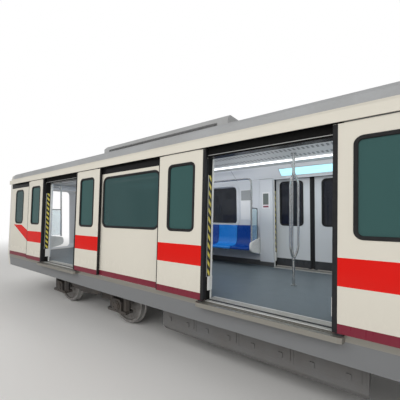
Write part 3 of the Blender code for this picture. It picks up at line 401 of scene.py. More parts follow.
def axlebox_covers(end):
    """A round cover with a raised rim and a circle of bolts on each axlebox's outer face."""
    skins = []
    for place in ("outer", "inner"):
        wheel_low, wheel_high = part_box(f"wheelset_{end}_{place}")
        x, z = (wheel_low.x + wheel_high.x) / 2, (wheel_low.z + wheel_high.z) / 2
        for side in (-1, 1):
            face = side * AXLEBOX_FACE
            for radius, out in COVER_STEPS:
                path = [(x, face - side * 0.004, z), (x, face + side * out, z)]
                skins.append(tube(path, radius, 32))
            for k in range(BOLTS):
                angle = math.tau * (k + 0.5) / BOLTS
                along, up = x + BOLT_CIRCLE * math.cos(angle), z + BOLT_CIRCLE * math.sin(angle)
                path = [(along, face, up), (along, face + side * BOLT_OUT, up)]
                skins.append(tube(path, BOLT_RADIUS, 6))
    return skins


for end in BOGIES:
    piece(f"axlebox_covers_{end}", axlebox_covers(end), bogie_paint, f"bogie_{end}")
    for place in ("outer", "inner"):
        wheelset(f"wheelset_{end}_{place}")

# The side walls
# Welded aluminium shells in cream enamel that lean in above the floor, with a crimson band at the foot
# and a red one on the end bays. Reveals are painted near black and the track's hollow over each doorway
# black, both painted shade for the shadow in the doorways and under the door cover. The sills are left
# bare.
FACE = 1.52
LEAN = math.radians(2.5)
PITCH = 4.45
DOORWAY = 1.40
DOOR_HEAD = 1.87
WALL = 0.14
LEAF_OUT = (0.02, 0.06)
LEAF_FOOT = 0.015
CREAM = (0.700, 0.665, 0.580)
RED = (0.700, 0.004, 0.001)
CRIMSON = (0.180, 0.003, 0.026)
LINING = (0.600, 0.625, 0.655)
BLACK = (0.012, 0.012, 0.013)
BARE = (0.340, 0.325, 0.290)
SKIRT_GREY = (0.200, 0.205, 0.210)
BAND = (0.450, 0.715)
FOOT_BAND = (0.012, 0.106)
BAND_BEND = 0.93
TRACK_RECESS = (DOOR_HEAD - 0.002, 2.105)
TRACK_SHELF = (2.000, 2.032)
SILL_UP = (-0.070, 0.011)
DOORWAYS = [PITCH * (k - 1.5) for k in range(4)]
END_JAMB = DOORWAYS[-1] + DOORWAY / 2
SIDES = (("near", -1), ("far", 1))


def on_side(side, x, out, up):
    """World points from a place on a wall: along the car, out from its face and up its lean."""
    x, out, up = np.broadcast_arrays(x, out, up)
    y = side * (FACE + out * math.cos(LEAN) - up * math.sin(LEAN))
    z = FLOOR + out * math.sin(LEAN) + up * math.cos(LEAN)
    return np.stack([x, y, z], -1)


def upright(side, section, heights):
    """A section of places along and out, carried straight up a wall through the heights."""
    x, out = np.array(section, float).T
    return loft(on_side(side, x, out, np.array(heights)[:, None]))


def wall_frame(y, z):
    """How far a point lies out from the wall's face, and its height over the floor."""
    up = z - FLOOR
    return abs(y) + up * math.tan(LEAN) - FACE, up


def between(value, low, high):
    return (value > low) * (value < high)


def enamel(place, up, cream):
    """Road dust that gathers towards the foot, fine streaks and a soft orange peel."""
    streak = place.noise(9, 4, (3, 3, 0.25))
    low = up.add("MapRange", {0: up, 1: 0.6, 2: -0.3, 3: 0, 4: 0.24})
    grime = (streak * 0.5 + 0.2) * low + place.noise(1.6, 5) * 0.04
    colour = grime.mix(cream, (0.30, 0.26, 0.21))
    rough = grime * 0.5 + 0.24
    return colour, rough, place.noise(420, 1).bump(0.00025, 0.5)


def wall_look(place, x, y, z):
    out, up = wall_frame(y, z)
    past = abs(x) - END_JAMB
    climb = (past - BAND_BEND).maths("MAXIMUM", 0)
    red_foot = climb * 0.45 + BAND[0]
    red_head = (climb * 0.37).maths("MINIMUM", 0.14) + BAND[1]
    red = between(up, red_foot, red_head) * (past > 0)
    outside = out > -0.02
    cream = red.mix(CREAM, RED)
    cream = between(up, *FOOT_BAND).mix(cream, CRIMSON)
    colour, rough, skin = enamel(place, up, cream)
    # Painted shade: the track's hollow over each doorway is painted black for the shadow under the door
    # cover.
    recess_shade = between(up, *TRACK_RECESS) * (out < 0.050) * outside
    shelf = between(up, *TRACK_SHELF) * between(out, 0.040, 0.052)
    sill = between(up, *SILL_UP) * outside
    # Painted shade: the reveals are painted near black for the shadow in the doorways.
    reveal = between(out, -WALL + 0.004, -0.004)
    colour = outside.mix(LINING, colour)
    colour = reveal.mix(colour, (0.040, 0.041, 0.042))
    colour = recess_shade.mix(colour, BLACK)
    colour = (up < -0.002).mix(colour, SKIRT_GREY)
    bare = sill.maths("MAXIMUM", shelf)
    return {
        "Base Color": bare.mix(colour, BARE),
        "Metallic": bare * 0.75,
        "Roughness": rough + bare * 0.15,
        "Normal": skin,
    }


wall_paint = material("banded_wall_enamel", wall_look, Specular_IOR_Level=0.18)
for name, side in SIDES:
    dress(f"side_wall_{name}", wall_paint)

# The body windows
# Flat tinted panes in black rubber with round corners, one wide pane a bay and a narrow one at each end.
# The rubber stands a little proud, and a lining frame closes the wall's thickness inside.
WINDOW_SILL = 0.89
WINDOW_HEAD = 1.81
WINDOW_CORNER = 0.12
UNDER_RUBBER = 0.028
WINDOWS = [((a + b) / 2, 1.384) for a, b in zip(DOORWAYS, DOORWAYS[1:])]
WINDOWS += [(sign * (END_JAMB + 1.50), 0.50) for sign in (-1, 1)]


def tinted_glass(name, teal, night, line, alpha):
    """Tinted glass: its side out past the line is teal, and its inner side mirrors the dark."""

    def look(place, x, y, z):
        out, _ = wall_frame(y, z)
        streak = place.noise(2, 3, (1, 1, 0.4))
        outer = (streak * 0.6).mix(teal, tuple(1.35 * c for c in teal))
        return {
            "Base Color": (out > line).mix(night, outer),
            "Roughness": place.noise(5) * 0.05 + 0.04,
        }

    return material(name, look, Alpha=alpha, IOR=1.45)


def rounded(width, height, corner, past, steps=8):
    """A rectangle grown past its edge all round: a quarter circle about each corner's own centre."""
    turn = np.linspace(0, math.pi / 2, steps + 1)
    points = []
    for quarter, (across, up) in enumerate(((1, 1), (-1, 1), (-1, -1), (1, -1))):
        angle = turn + quarter * math.pi / 2
        centre = (across * (width / 2 - corner), up * (height / 2 - corner))
        points.append(centre + (corner + past) * np.stack([np.cos(angle), np.sin(angle)], 1))
    return np.concatenate(points)


def outline(side, x, up, size, past, out):
    """A window's outline, grown past its edge, at a distance out from the wall's face."""
    loop = rounded(*size, past)
    return on_side(side, x + loop[:, 0], out, up + loop[:, 1])


def ring_of(window, profile):
    """A band round a window: each profile point is a distance past its edge and one out of the wall."""
    return loft([outline(*window, past, out) for past, out in profile], round_trip=True)


def pane(window, depths):
    """A flat sheet between two distances out from the wall's face, its edge under the rubber."""
    return loft([outline(*window, -UNDER_RUBBER, out) for out in depths])


rubber = mottled(
    "black_rubber", ((0.010, 0.010, 0.011), (0.028, 0.028, 0.029)), ((25, 4, 1),),
    (60, 0.2, 0.42), (700, 2, 0.0003, 0.6), Specular_IOR_Level=0.25,
)
body_glass = tinted_glass(
    "body_window_glass", (0.026, 0.068, 0.068), (0.012, 0.014, 0.020), -0.010, 0.90
)
RUBBER_PROFILE = (
    (0.004, 0.0005), (0.003, 0.006), (-0.006, 0.008), (-0.028, 0.005), (-0.034, -0.003), (-0.034, -0.018),
    (-0.0005, -0.018), (-0.0005, 0.0005),
)
LINING_PROFILE = (
    (0.055, -WALL - 0.002), (0.055, -WALL - 0.010), (0.030, -WALL - 0.014), (-0.012, -WALL - 0.010),
    (-0.034, -0.026), (-0.034, -0.020), (-0.0005, -0.020), (-0.0005, -WALL - 0.002),
)


def lining_look(place, x, y, z):
    seam = x * 0.95 % 1
    groove = seam < 0.012
    mottle = place.noise(2.5, 3)
    return {
        "Base Color": (mottle * 0.5).mix(LINING, (0.52, 0.54, 0.565)),
        "Roughness": place.noise(30) * 0.12 + 0.30,
        "Normal": (place.noise(500, 1) * 0.1 - groove).bump(0.0015, 0.7),
    }


lining = material("saloon_lining", lining_look)
WINDOW_HEIGHT = WINDOW_HEAD - WINDOW_SILL
WINDOW_MIDDLE = (WINDOW_HEAD + WINDOW_SILL) / 2
for name, side in SIDES:
    panes, rubbers, frames = [], [], []
    for x, width in WINDOWS:
        window = (side, x, WINDOW_MIDDLE, (width, WINDOW_HEIGHT, WINDOW_CORNER))
        rubbers.append(ring_of(window, RUBBER_PROFILE))
        frames.append(ring_of(window, LINING_PROFILE))
        panes.append(pane(window, (-0.014, -0.006)))
    piece(f"window_panes_{name}", panes, body_glass)
    piece(f"window_rubbers_{name}", rubbers, rubber)
    piece(f"window_linings_{name}", frames, lining)

# The doorways
# An aluminium threshold with a slot painted black, a painted shade for the dark gap, rubber jamb seals,
# and a black panel with a pale rail over the head, the panel a painted shade for the shadow under the door
# cover. Down each reveal run a black backing sheet, painted shade as well, a corner moulding, a yellow and
# black band and a white strip on a foot block.
HAZARD_YELLOW = (0.700, 0.590, 0.090)
TRIM_WHITE = (0.740, 0.740, 0.715)
THRESHOLD = (FACE - 0.244, FACE - 0.0005)
THRESHOLD_GAP_SHADE = (FACE - 0.103, FACE - 0.060)
HEADER = (DOOR_HEAD + 0.002, DOOR_HEAD + 0.115)
HEADER_RAIL = (DOOR_HEAD + 0.023, DOOR_HEAD + 0.029)
SEAL_WIDTH = 0.030
SEAL_LIP = 0.005
SEAL_OUT = 0.013
BAND_UP = (0.31, 1.64)
STRIP_OUT = (-0.150, -0.112)
REVEAL_STRIPS = (
    # piece, thickness, bounds out, bounds up, cut of the free edge
    # The first strip is a black sheet down the reveal: painted shade for the shadow in the doorway.
    ("header_panels", 0.0015, (-0.115, -0.001), (0.010, DOOR_HEAD - 0.002), 0),
    ("hazard_bands", 0.0030, (-0.094, -0.032), BAND_UP, 0.001),
    ("corner_mouldings", 0.0045, (-0.022, -0.008), BAND_UP, 0.002),
    ("jamb_strips", 0.0100, STRIP_OUT, (0.310, DOOR_HEAD - 0.002), 0.004),
    ("jamb_strips", 0.0160, (-0.152, -0.040), (0.130, 0.310), 0.008),
    ("jamb_strips", 0.0080, STRIP_OUT, (0.008, 0.130), 0.004),
)


def tread_look(place, x, y, z):
    rib = y * 55 % 1
    across = abs(y)
    # Painted shade: the slot is painted black for the shadow in the gap across the threshold.
    slot = between(across, *THRESHOLD_GAP_SHADE)
    nosing = (across < THRESHOLD[0] + 0.022).maths("MAXIMUM", across > FACE - 0.020)
    plate = place.noise(18, 4).mix((0.44, 0.43, 0.40), (0.30, 0.29, 0.265))
    plate = (nosing * 0.8).mix(plate, (0.66, 0.655, 0.63))
    return {
        "Base Color": slot.mix(plate, BLACK),
        "Roughness": place.noise(40) * 0.15 + 0.34,
        "Normal": ((rib < 0.45) * 0.15 - slot).bump(0.003, 0.6),
    }


def hazard_look(place, x, y, z):
    _, up = wall_frame(y, z)
    turn = (up * 8.4 + y * 9 + x * 9) % 1
    worn = place.noise(70, 4) * 0.3
    yellow = worn.mix(HAZARD_YELLOW, (0.50, 0.42, 0.12))
    return {
        "Base Color": (turn > 0.5).mix(BLACK, yellow),
        "Roughness": place.noise(50) * 0.2 + 0.35,
    }


def drawn(name, colours, scale, squeeze, rough, metallic):
    """A drawn metal: one noise, drawn out up the piece, gives its colour and its roughness."""

    def look(place, x, y, z):
        grain = place.noise(scale, 3, (1, 1, squeeze))
        return {"Base Color": (grain * 0.5).mix(*colours), "Roughness": grain * rough[0] + rough[1]}

    return material(name, look, Metallic=metallic)


def on_face(side, x, out, up):
    """A strip on the wall's outer face, between bounds along, out and up."""
    return upright(side, [(x[0], out[0]), (x[1], out[0]), (x[1], out[1]), (x[0], out[1])], up)


def on_reveal(side, jamb, sign, thick, out, up, cut):
    """A strip on a doorway's reveal: a section whose free edges are cut back, carried up the wall."""
    back, face = jamb + sign * 0.001, jamb - sign * thick
    section = [(back, out[0]), (face, out[0] + cut), (face, out[1] - cut), (back, out[1])]
    return upright(side, section, up)


def jamb_seal(side, jamb, sign):
    """A lip of rubber on the wall's face: its section, slanted at the jamb, carried up the doorway."""
    edge, lip = jamb + sign * SEAL_WIDTH, jamb - sign * SEAL_LIP
    section = [(edge, 0.0005), (lip, 0.0005), (lip + sign * 0.003, SEAL_OUT), (edge, SEAL_OUT)]
    return upright(side, section, (0.02, DOOR_HEAD - 0.01))


tread_plate = material("ribbed_aluminium", tread_look, Metallic=0.35)
hazard = material("hazard_bands", hazard_look)
# Near black panels, painted shade: for the shadow over the doorways and in their reveals, and for the dark
# inside the roof coolers.
shade_black = mottled(
    "painted_shade_black_panel", ((0.006, 0.006, 0.006), (0.014, 0.014, 0.013)), ((30, 4, 1),),
    (60, 0.1, 0.75), Specular_IOR_Level=0.12,
)
white_trim = mottled(
    "white_trim", (TRIM_WHITE, (0.56, 0.56, 0.54)), ((24, 5, 0.25),),
    (30, 0.12, 0.30), (500, 1, 0.0002, 0.5),
)
moulding = drawn(
    "aluminium_moulding", ((0.62, 0.62, 0.60), (0.44, 0.44, 0.43)), 120, 0.05, (0.15, 0.28), 0.5
)
for name, side in SIDES:
    skins = {kind: [] for kind in ("thresholds", "jamb_seals", "header_rails")}
    skins.update({kind: [] for kind, *_ in REVEAL_STRIPS})
    for x in DOORWAYS:
        along = (x - DOORWAY / 2 + 0.002, x + DOORWAY / 2 - 0.002)
        across = sorted(side * edge for edge in THRESHOLD)
        skins["thresholds"].append(slab(along, across, (FLOOR + 0.0005, FLOOR + 0.006), 0.002))
        # The black panel over the head: painted shade for the shadow under the door cover.
        skins["header_panels"].append(on_face(side, along, (0.0005, 0.003), HEADER))
        skins["header_rails"].append(on_face(side, along, (0.002, 0.010), HEADER_RAIL))
        for sign in (-1, 1):
            jamb = x + sign * DOORWAY / 2
            skins["jamb_seals"].append(jamb_seal(side, jamb, sign))
            for kind, thick, out, up, cut in REVEAL_STRIPS:
                skins[kind].append(on_reveal(side, jamb, sign, thick, out, up, cut))
    for kind, finish, slot in (
        ("thresholds", tread_plate, "bright_steel"),
        ("jamb_seals", rubber, "bellows_grey"),
        ("header_panels", shade_black, "bellows_grey"),
        ("header_rails", moulding, "bright_steel"),
        ("corner_mouldings", moulding, "bright_steel"),
        ("hazard_bands", hazard, "cream_paint"),
        ("jamb_strips", white_trim, "pale_panel"),
    ):
        piece(f"{kind}_{name}", skins[kind], finish)

# The door leaves
# Bonded aluminium, banded as the body outside, grey inside with a dark kick plate. Each leaf has a teal
# pane in a black rubber frame, a broad rubber nose along its meeting edge and a rubber seal behind.
LEAF_WINDOW = (0.456, 0.940, 0.075)
LEAF_WINDOW_UP = LEAF_FOOT + 0.874 + 0.47
LEAF_WINDOW_IN = 0.164
NOSE = 0.040
LEAF_HEIGHT = 1.96
LEAF_BAND = (0.436, 0.700)
LEAF_FOOT_BAND = 0.092
EDGE_LIFT = 0.0015
TAIL = 0.012
KICK_PLATE = 0.165
KICK_GREY = (0.052, 0.055, 0.058)
LEAF_INSIDE = (0.620, 0.645, 0.660)
HANGER_GREY = (0.250, 0.250, 0.260)


def leaf_look(place, x, y, z):
    out, up = wall_frame(y, z)
    height = up - LEAF_FOOT
    cream = between(height, *LEAF_BAND).mix(CREAM, RED)
    cream = (height < LEAF_FOOT_BAND).mix(cream, CRIMSON)
    colour, rough, skin = enamel(place, up, cream)
    outer = out > LEAF_OUT[1] - 0.006
    hanger = height > LEAF_HEIGHT + 0.004
    inner = (height < KICK_PLATE).mix(LEAF_INSIDE, KICK_GREY)
    colour = outer.mix(inner, colour)
    colour = hanger.mix(colour, HANGER_GREY)
    return {"Base Color": colour, "Roughness": rough, "Metallic": hanger * 0.6, "Normal": skin}


leaf_paint = material("banded_leaf_enamel", leaf_look, Specular_IOR_Level=0.18)
leaf_glass = tinted_glass(
    "leaf_window_glass", (0.032, 0.088, 0.084), (0.012, 0.014, 0.022), 0.041, 0.94
)
LEAF_RUBBER = (
    (0.005, 0.0603), (0.004, 0.065), (-0.008, 0.068), (-0.026, 0.065), (-0.032, 0.058), (-0.032, 0.024),
    (-0.026, 0.015), (-0.008, 0.012), (0.004, 0.015), (0.005, 0.0197), (0.0003, 0.0197), (0.0003, 0.0603),
)


def leaf(node, side, way):
    """The pane, its rubber frame and the edge rubbers of one leaf, by the way in which it opens."""
    low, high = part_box(node)
    lead = low.x if way > 0 else high.x
    trail = high.x if way > 0 else low.x
    x = lead + way * (LEAF_WINDOW_IN + LEAF_WINDOW[0] / 2)
    window = (side, x, LEAF_WINDOW_UP, LEAF_WINDOW)
    piece(node + "_pane", [pane(window, (0.036, 0.046))], leaf_glass, node)
    inner, outer = LEAF_OUT[0] - EDGE_LIFT, LEAF_OUT[1] + EDGE_LIFT
    front, edge, root = lead - way * 0.0022, lead - way * 0.001, lead + way * NOSE
    nose = [(root, inner), (edge, inner), (front, 0.028), (front, 0.052), (edge, outer), (root, outer)]
    back, root = trail + way * EDGE_LIFT, trail - way * TAIL
    tail = [(root, inner), (back, inner), (back, outer), (root, outer)]
    heights = (LEAF_FOOT + 0.002, LEAF_FOOT + LEAF_HEIGHT - 0.002)
    skins = [ring_of(window, LEAF_RUBBER), upright(side, nose, heights), upright(side, tail, heights)]
    piece(node + "_rubbers", skins, rubber, node)
    dress(node, leaf_paint)


for name, side in SIDES:
    for k in range(4):
        for hand, way in (("a", -1), ("b", 1)):
            leaf(f"door_{name}_{k + 1}{hand}", side, way)

# The roof and its coolers
# A ribbed roof of painted aluminium. Each cooler is a folded case that sits on the roof's curve, with
# louvres along both sides and two fans, whose round cowls carry a guard of welded wire. Black discs under
# the fans and black backs behind the louvres are painted shade for the dark inside the cooler.
COOLER_CORNER = 0.08
COWL = 0.030
FANS_FROM_MIDDLE = 0.50
FAN_RADIUS = 0.276
HUB_RADIUS = 0.050
BLADES = 5
BLADE = ((0.045, 0.300, 0.010), (0.150, 0.340, 0.007), (0.262, 0.360, 0.004))
BLADE_UP = 0.014
BLADE_THICK = 0.001
GUARD_RINGS = (0.070, 0.110, 0.150, 0.190, 0.230, 0.262)
GUARD_UP = 0.0255
COWL_PROFILE = (
    (0.300, -0.002), (0.300, 0.024), (0.294, 0.0295), (0.281, 0.0295), (0.275, 0.024), (0.275, -0.002),
)
GUARD_WIRE = 0.0022
GUARD_SPOKE = 0.003
HUB_UP = 0.023
LOUVRE = (-0.235, -0.105)
LOUVRE_FROM_END = 0.18
SLATS = 8
SLAT_OUT = 0.012


def roof_look(place, x, y, z):
    rib = y * 9 % 1
    dirt = place.noise(1.4, 6) * 0.7 + place.noise(30, 2) * 0.2
    return {
        "Base Color": (dirt - 0.2).mix((0.40, 0.41, 0.42), (0.20, 0.19, 0.175)),
        "Roughness": place.noise(8) * 0.2 + 0.45,
        "Normal": (rib < 0.16).bump(0.004, 0.8),
    }


def cooler_case(low, high):
    """The case: a section with two cut upper corners and a hollow foot that follows the roof's bow."""
    edge, top = high.y, high.z - COWL
    crown = top - 0.20
    cut = COOLER_CORNER
    across = np.linspace(-edge, edge, 13)
    hollow = crown + 0.001 - (crown - low.z) * (across / edge) ** 2
    section = [(edge, top - cut), (edge - 0.01, top - cut + 0.02), (edge - cut, top - 0.004)]
    section += [(edge - cut - 0.02, top), (0.02 + cut - edge, top), (cut - edge, top - 0.004)]
    section += [(0.01 - edge, top - cut + 0.02), (-edge, top - cut), *zip(across, hollow)]
    return along_car(section, (low.x, high.x))


def turned(x, z, profile, sides=48):
    """A ring turned about an upright axis: each profile point is a radius and a height."""
    radius, up = np.array(profile).T[:, :, None]
    turn = np.linspace(0, math.tau, sides, endpoint=False)
    places = np.broadcast_arrays(x + radius * np.cos(turn), radius * np.sin(turn), z + up)
    return loft(np.stack(places, -1), round_trip=True)


def blade(x, z, angle):
    """One fan blade: each row of BLADE is a radius, and there half the blade's angle and its rise.

    The section swings from one edge to the other as it climbs, less and less towards the tip.
    """
    radius, half, rise = np.array(BLADE).T[:, :, None]
    edge = np.array((-1, 1, 1, -1))
    turn = angle + half * edge
    height = z + BLADE_UP + rise * edge / 2 + np.array((0, 0, BLADE_THICK, BLADE_THICK))
    return loft(np.stack([x + radius * np.cos(turn), radius * np.sin(turn), height], -1))


def cooler(end):
    """The case with its cowls and slats, and the blades over black discs, under wire guards.

    The black discs and the black backs behind the louvres are painted shade for the dark inside the
    cooler.
    """
    low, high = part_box(f"roof_cooler_{end}")
    top = high.z - COWL
    shell, shade_wells, wires = [cooler_case(low, high)], [], []
    turn = np.linspace(0, math.tau, 48, endpoint=False)
    circle = np.stack([np.cos(turn), np.sin(turn), 0 * turn], 1)
    for sign in (-1, 1):
        x = (low.x + high.x) / 2 + sign * FANS_FROM_MIDDLE
        guard = (x, 0, top + GUARD_UP)
        shell.append(turned(x, top, COWL_PROFILE))
        # A black disc under each fan: painted shade for the dark inside the cooler.
        shade_wells.append(tube([(x, 0, top - 0.002), (x, 0, top + 0.002)], FAN_RADIUS, 48))
        wires.append(tube([(x, 0, top), (x, 0, top + HUB_UP)], HUB_RADIUS, 24))
        wires += [blade(x, top, math.tau * k / BLADES) for k in range(BLADES)]
        for radius in GUARD_RINGS:
            wires.append(tube(circle * radius + guard, GUARD_WIRE, 6, round_trip=True))
        for out in circle[::6]:
            wires.append(tube(np.linspace(out * 0.045, out * FAN_RADIUS, 2) + guard, GUARD_SPOKE, 6))
    for face, side in ((low.y, -1), (high.y, 1)):
        span = (low.x + LOUVRE_FROM_END, high.x - LOUVRE_FROM_END)
        back = sorted((face - side * 0.002, face + side * 0.002))
        # A black back behind the louvres: painted shade for the dark inside the cooler.
        shade_wells.append(slab(span, back, (top + LOUVRE[0], top + LOUVRE[1])))
        lip = face + side * SLAT_OUT
        for z in np.linspace(top + LOUVRE[0] + 0.010, top + LOUVRE[1] - 0.010, SLATS):
            section = [(face, z - 0.002), (face, z + 0.005), (lip, z - 0.003), (lip, z - 0.006)]
            shell.append(along_car(section, span))
    return shell, shade_wells, wires


cooler_paint = mottled(
    "cooler_case_paint", ((0.460, 0.470, 0.475), (0.250, 0.240, 0.225)), ((2.4, 6, 0.7),),
    (10, 0.2, 0.42), (160, 2, 0.0005),
)
dress("roof", material("ribbed_roof_paint", roof_look))
for end in BOGIES:
    shell, shade_wells, wires = cooler(end)
    node = f"roof_cooler_{end}"
    piece(f"cooler_case_{end}", shell, cooler_paint, replaces=(node,))
    piece(f"cooler_shade_wells_{end}", shade_wells, shade_black, replaces=(node,))
    piece(f"cooler_fans_{end}", wires, case_paint, replaces=(node,))

# The car ends
# Cream end walls, each with a gangway doorway. The bellows are coated cloth in deep rounded folds between
# two clamping frames, lined inside with pale panels. The coupling bars below are cast steel.
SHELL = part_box("roof")[1].x
PASSAGE = (1.30, 1.95, 0.12)
LINER = (0.003, 0.016)
BELLOWS_CORNER = 0.24
FOLDS = 11
FOLD_DEPTH = 0.078
CLOTH = 0.008
CLAMP = 0.075
CLAMP_SHARE = 0.055


def end_look(place, x, y, z):
    outside = abs(x) > SHELL + 0.02
    _, up = wall_frame(y, z)
    colour, rough, skin = enamel(place, up, CREAM)
    plate = between(up, -0.04, -0.002) * (abs(x) > SHELL + 0.11)
    colour = outside.mix(LINING, colour)
    return {
        "Base Color": plate.mix(colour, BARE),
        "Metallic": plate * 0.8,
        "Roughness": rough,
        "Normal": skin,
    }


end_paint = material("end_wall_enamel", end_look, Coat_Weight=0.2, Coat_Roughness=0.1)
bellows_cloth = mottled(
    "coated_bellows_cloth", ((0.065, 0.068, 0.066), (0.135, 0.138, 0.132)), ((6, 5, 1),),
    (50, 0.15, 0.62), (900, 2, 0.0004, 0.8),
)
cast_steel = mottled(
    "cast_coupling_steel", ((0.060, 0.062, 0.066), (0.135, 0.080, 0.050)), ((9, 6, 1),),
    (20, 0.2, 0.55), (140, 4, 0.001, 0.7), start=-0.2,
)


def across_car(x, size, past, middle, steps=8):
    """A rectangle with round corners that stands across the car at x, about a height."""
    loop = rounded(*size, past, steps)
    return np.stack([np.full(len(loop), x), loop[:, 0], middle + loop[:, 1]], 1)


def bellows(node):
    """The ring's outline grows and shrinks as a cosine along the car, outside and then inside."""
    low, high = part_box(node)
    along = np.linspace(0, 1, 12 * FOLDS + 1)
    fold = 0.5 - 0.5 * np.cos(along * math.tau * FOLDS)
    clamped = np.minimum(along, 1 - along) < CLAMP_SHARE
    outside = np.where(clamped, 0, -FOLD_DEPTH * (1 - fold) - 0.004)
    inside = np.where(clamped, -CLAMP, outside - CLOTH)
    x = low.x + (high.x - low.x) * along
    size, middle = (high.y - low.y, high.z - low.z, BELLOWS_CORNER), (low.z + high.z) / 2
    stations = (*zip(x, outside), *zip(x[::-1], inside[::-1]))
    return loft([across_car(at, size, past, middle, 10) for at, past in stations], round_trip=True)


def liner(node):
    """A thin sleeve round the passage: its two outlines carried along the bellows."""
    low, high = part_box(node)
    middle = FLOOR + PASSAGE[1] / 2
    corners = ((low.x, LINER[0]), (high.x, LINER[0]), (high.x, LINER[1]), (low.x, LINER[1]))
    return loft([across_car(x, PASSAGE, past, middle) for x, past in corners], round_trip=True)


for end in BOGIES:
    dress(f"end_wall_{end}", end_paint)
    dress(f"coupling_bar_{end}", cast_steel)
    dress(f"coupling_pocket_{end}", cast_steel)
    node = f"gangway_{end}"
    piece(f"bellows_{end}", [bellows(node)], bellows_cloth, crease=60, replaces=(node,))
    piece(f"gangway_liner_{end}", [liner(node)], lining)

# The ceiling
# Grey-white panels with a slotted air duct along the middle, its slots painted dark grey as painted shade
# for the dark inside the duct, two unbroken light strips, and a plain glowing route screen in the sloping
# cover over each doorway.
CEILING = 2.10
STRIP_Y = 0.52
STRIP_HALF = 0.035
STRIP_DEPTH = 0.022
STRIP_FROM_END = 0.3
DUCT = (0.14, 0.30)
COVE_FROM = 0.94
SCREEN_HALF = 0.52
SCREEN_SHARES = (0.16, 0.72)
SCREEN_RIM = 0.02
SCREEN_LIFT = 0.009
RIM_LIFT = 0.006


def ceiling_look(place, x, y, z):
    slot = (x * 16 % 1) < 0.5
    # Painted shade: the duct's slots are painted dark grey for the dark inside the duct.
    duct = between(abs(y), *DUCT) * slot
    joint = (x * 0.8 % 1) < 0.006
    cove = abs(y) > COVE_FROM
    colour = cove.mix((0.40, 0.415, 0.42), (0.78, 0.80, 0.82))
    colour = duct.mix(colour, (0.11, 0.115, 0.12))
    return {
        "Base Color": joint.mix(colour, (0.25, 0.255, 0.26)),
        "Roughness": place.noise(20) * 0.1 + 0.35,
        "Normal": (0 - duct - joint).bump(0.002, 0.7),
    }


def glow_look(place, x, y, z):
    return {"Base Color": (place.noise(4) * 0.1).mix((0.90, 0.93, 0.95), (0.80, 0.86, 0.90))}


def screen_look(place, x, y, z):
    band = place.noise(3, 2, (1, 6, 6))
    return {
        "Base Color": (band * 0.5).mix((0.16, 0.62, 0.72), (0.40, 0.80, 0.86)),
        "Emission Color": (band * 0.6).mix((0.50, 0.82, 0.90), (0.72, 0.92, 0.97)),
    }


dress("ceiling", material("slotted_ceiling_panels", ceiling_look))
WHITE_GLOW = (0.95, 0.98, 1)
light_strip = material("light_strip", glow_look, Emission_Color=WHITE_GLOW, Emission_Strength=1.6)
route_screen = material("plain_route_screen", screen_look, Emission_Strength=0.85, Roughness=0.15)
strips = []
along = (STRIP_FROM_END - SHELL, SHELL - STRIP_FROM_END)
up = (FLOOR + CEILING - STRIP_DEPTH, FLOOR + CEILING - 0.0003)
for y in (-STRIP_Y, STRIP_Y):
    strips.append(slab(along, (y - STRIP_HALF, y + STRIP_HALF), up, 0.008))
piece("light_strips", strips, light_strip)

COVE_FOOT, COVE_HEAD = np.array((1.297, 1.90)), np.array((0.95, 2.10))
COVE = COVE_HEAD - COVE_FOOT
COVE_NORMAL = np.array((-COVE[1], -abs(COVE[0]))) / np.linalg.norm(COVE)


def on_cove(side, x, half, shares, lift):
    """A flat tray on the sloping cover: its foot and head are shares of the slope, lifted off it."""
    ring = []
    for share, height in ((shares[0], 0), (shares[1], 0), (shares[1], lift), (shares[0], lift)):
        across, up = COVE_FOOT + COVE * share + COVE_NORMAL * height
        ring.append((side * across, FLOOR + up))
    return along_car(ring, (x - half, x + half))


screens, screen_frames = [], []
for _, side in SIDES:
    for x in DOORWAYS:
        screens.append(on_cove(side, x, SCREEN_HALF, SCREEN_SHARES, SCREEN_LIFT))
        rim = (SCREEN_SHARES[0] - 2 * SCREEN_RIM, SCREEN_SHARES[1] + 2 * SCREEN_RIM)
        screen_frames.append(on_cove(side, x, SCREEN_HALF + SCREEN_RIM, rim, RIM_LIFT))
piece("route_screens", screens, route_screen)
piece("route_screen_frames", screen_frames, lining)

# The saloon's walls
# Grey-white door posts beside each doorway, each with a plain dark board in a white frame over a small
# crimson strip. Bare pale boards stand beside the wide windows, and a dark kick strip runs along the foot.
POST_WIDTH = 0.29
POST_OUT = -0.045
POST_UP = (0.102, 1.89)
POST_FROM_JAMB = 0.012
POST_BEVEL = 0.015
POST_KICK = (0.007, 0.100)
WALL_KICK = (0.012, 0.120)
BOARD_HALF = 0.058
BOARD_UP = (1.350, 1.590)
LABEL_UP = (1.290, 1.325)
BOARD_RIM = 0.022
BOARD_FRAME_UP = (1.265, 1.620)
BAY_BOARD = (0.780, 1.060)
BAY_BOARD_UP = (1.02, 1.70)
BAY_PANEL_UP = (1.460, 1.688)
INSIDE = -WALL - 0.0005
BOARD_WHITE = (0.720, 0.730, 0.740)


def board_look(place, x, y, z):
    out, up = wall_frame(y, z)
    dark = (up > 1.345).mix((0.240, 0.012, 0.050), (0.130, 0.150, 0.140))
    colour = (out > INSIDE - 0.020).mix(dark, (0.330, 0.345, 0.350))
    return {
        "Base Color": (place.noise(8) * 0.3).mix(colour, (0.20, 0.21, 0.21)),
        "Roughness": place.noise(30) * 0.1 + 0.2,
    }


kick_strip = mottled(
    "dark_kick_strip", ((0.050, 0.052, 0.055), (0.10, 0.10, 0.10)), ((30, 4, 1),),
    (40, 0.2, 0.4), (300, 2, 0.0004),
)
board = material("plain_dark_board", board_look)
board_frame = mottled(
    "white_board_frame", (BOARD_WHITE, (0.60, 0.61, 0.62)), ((14, 3, 0.3),), (30, 0.1, 0.35)
)


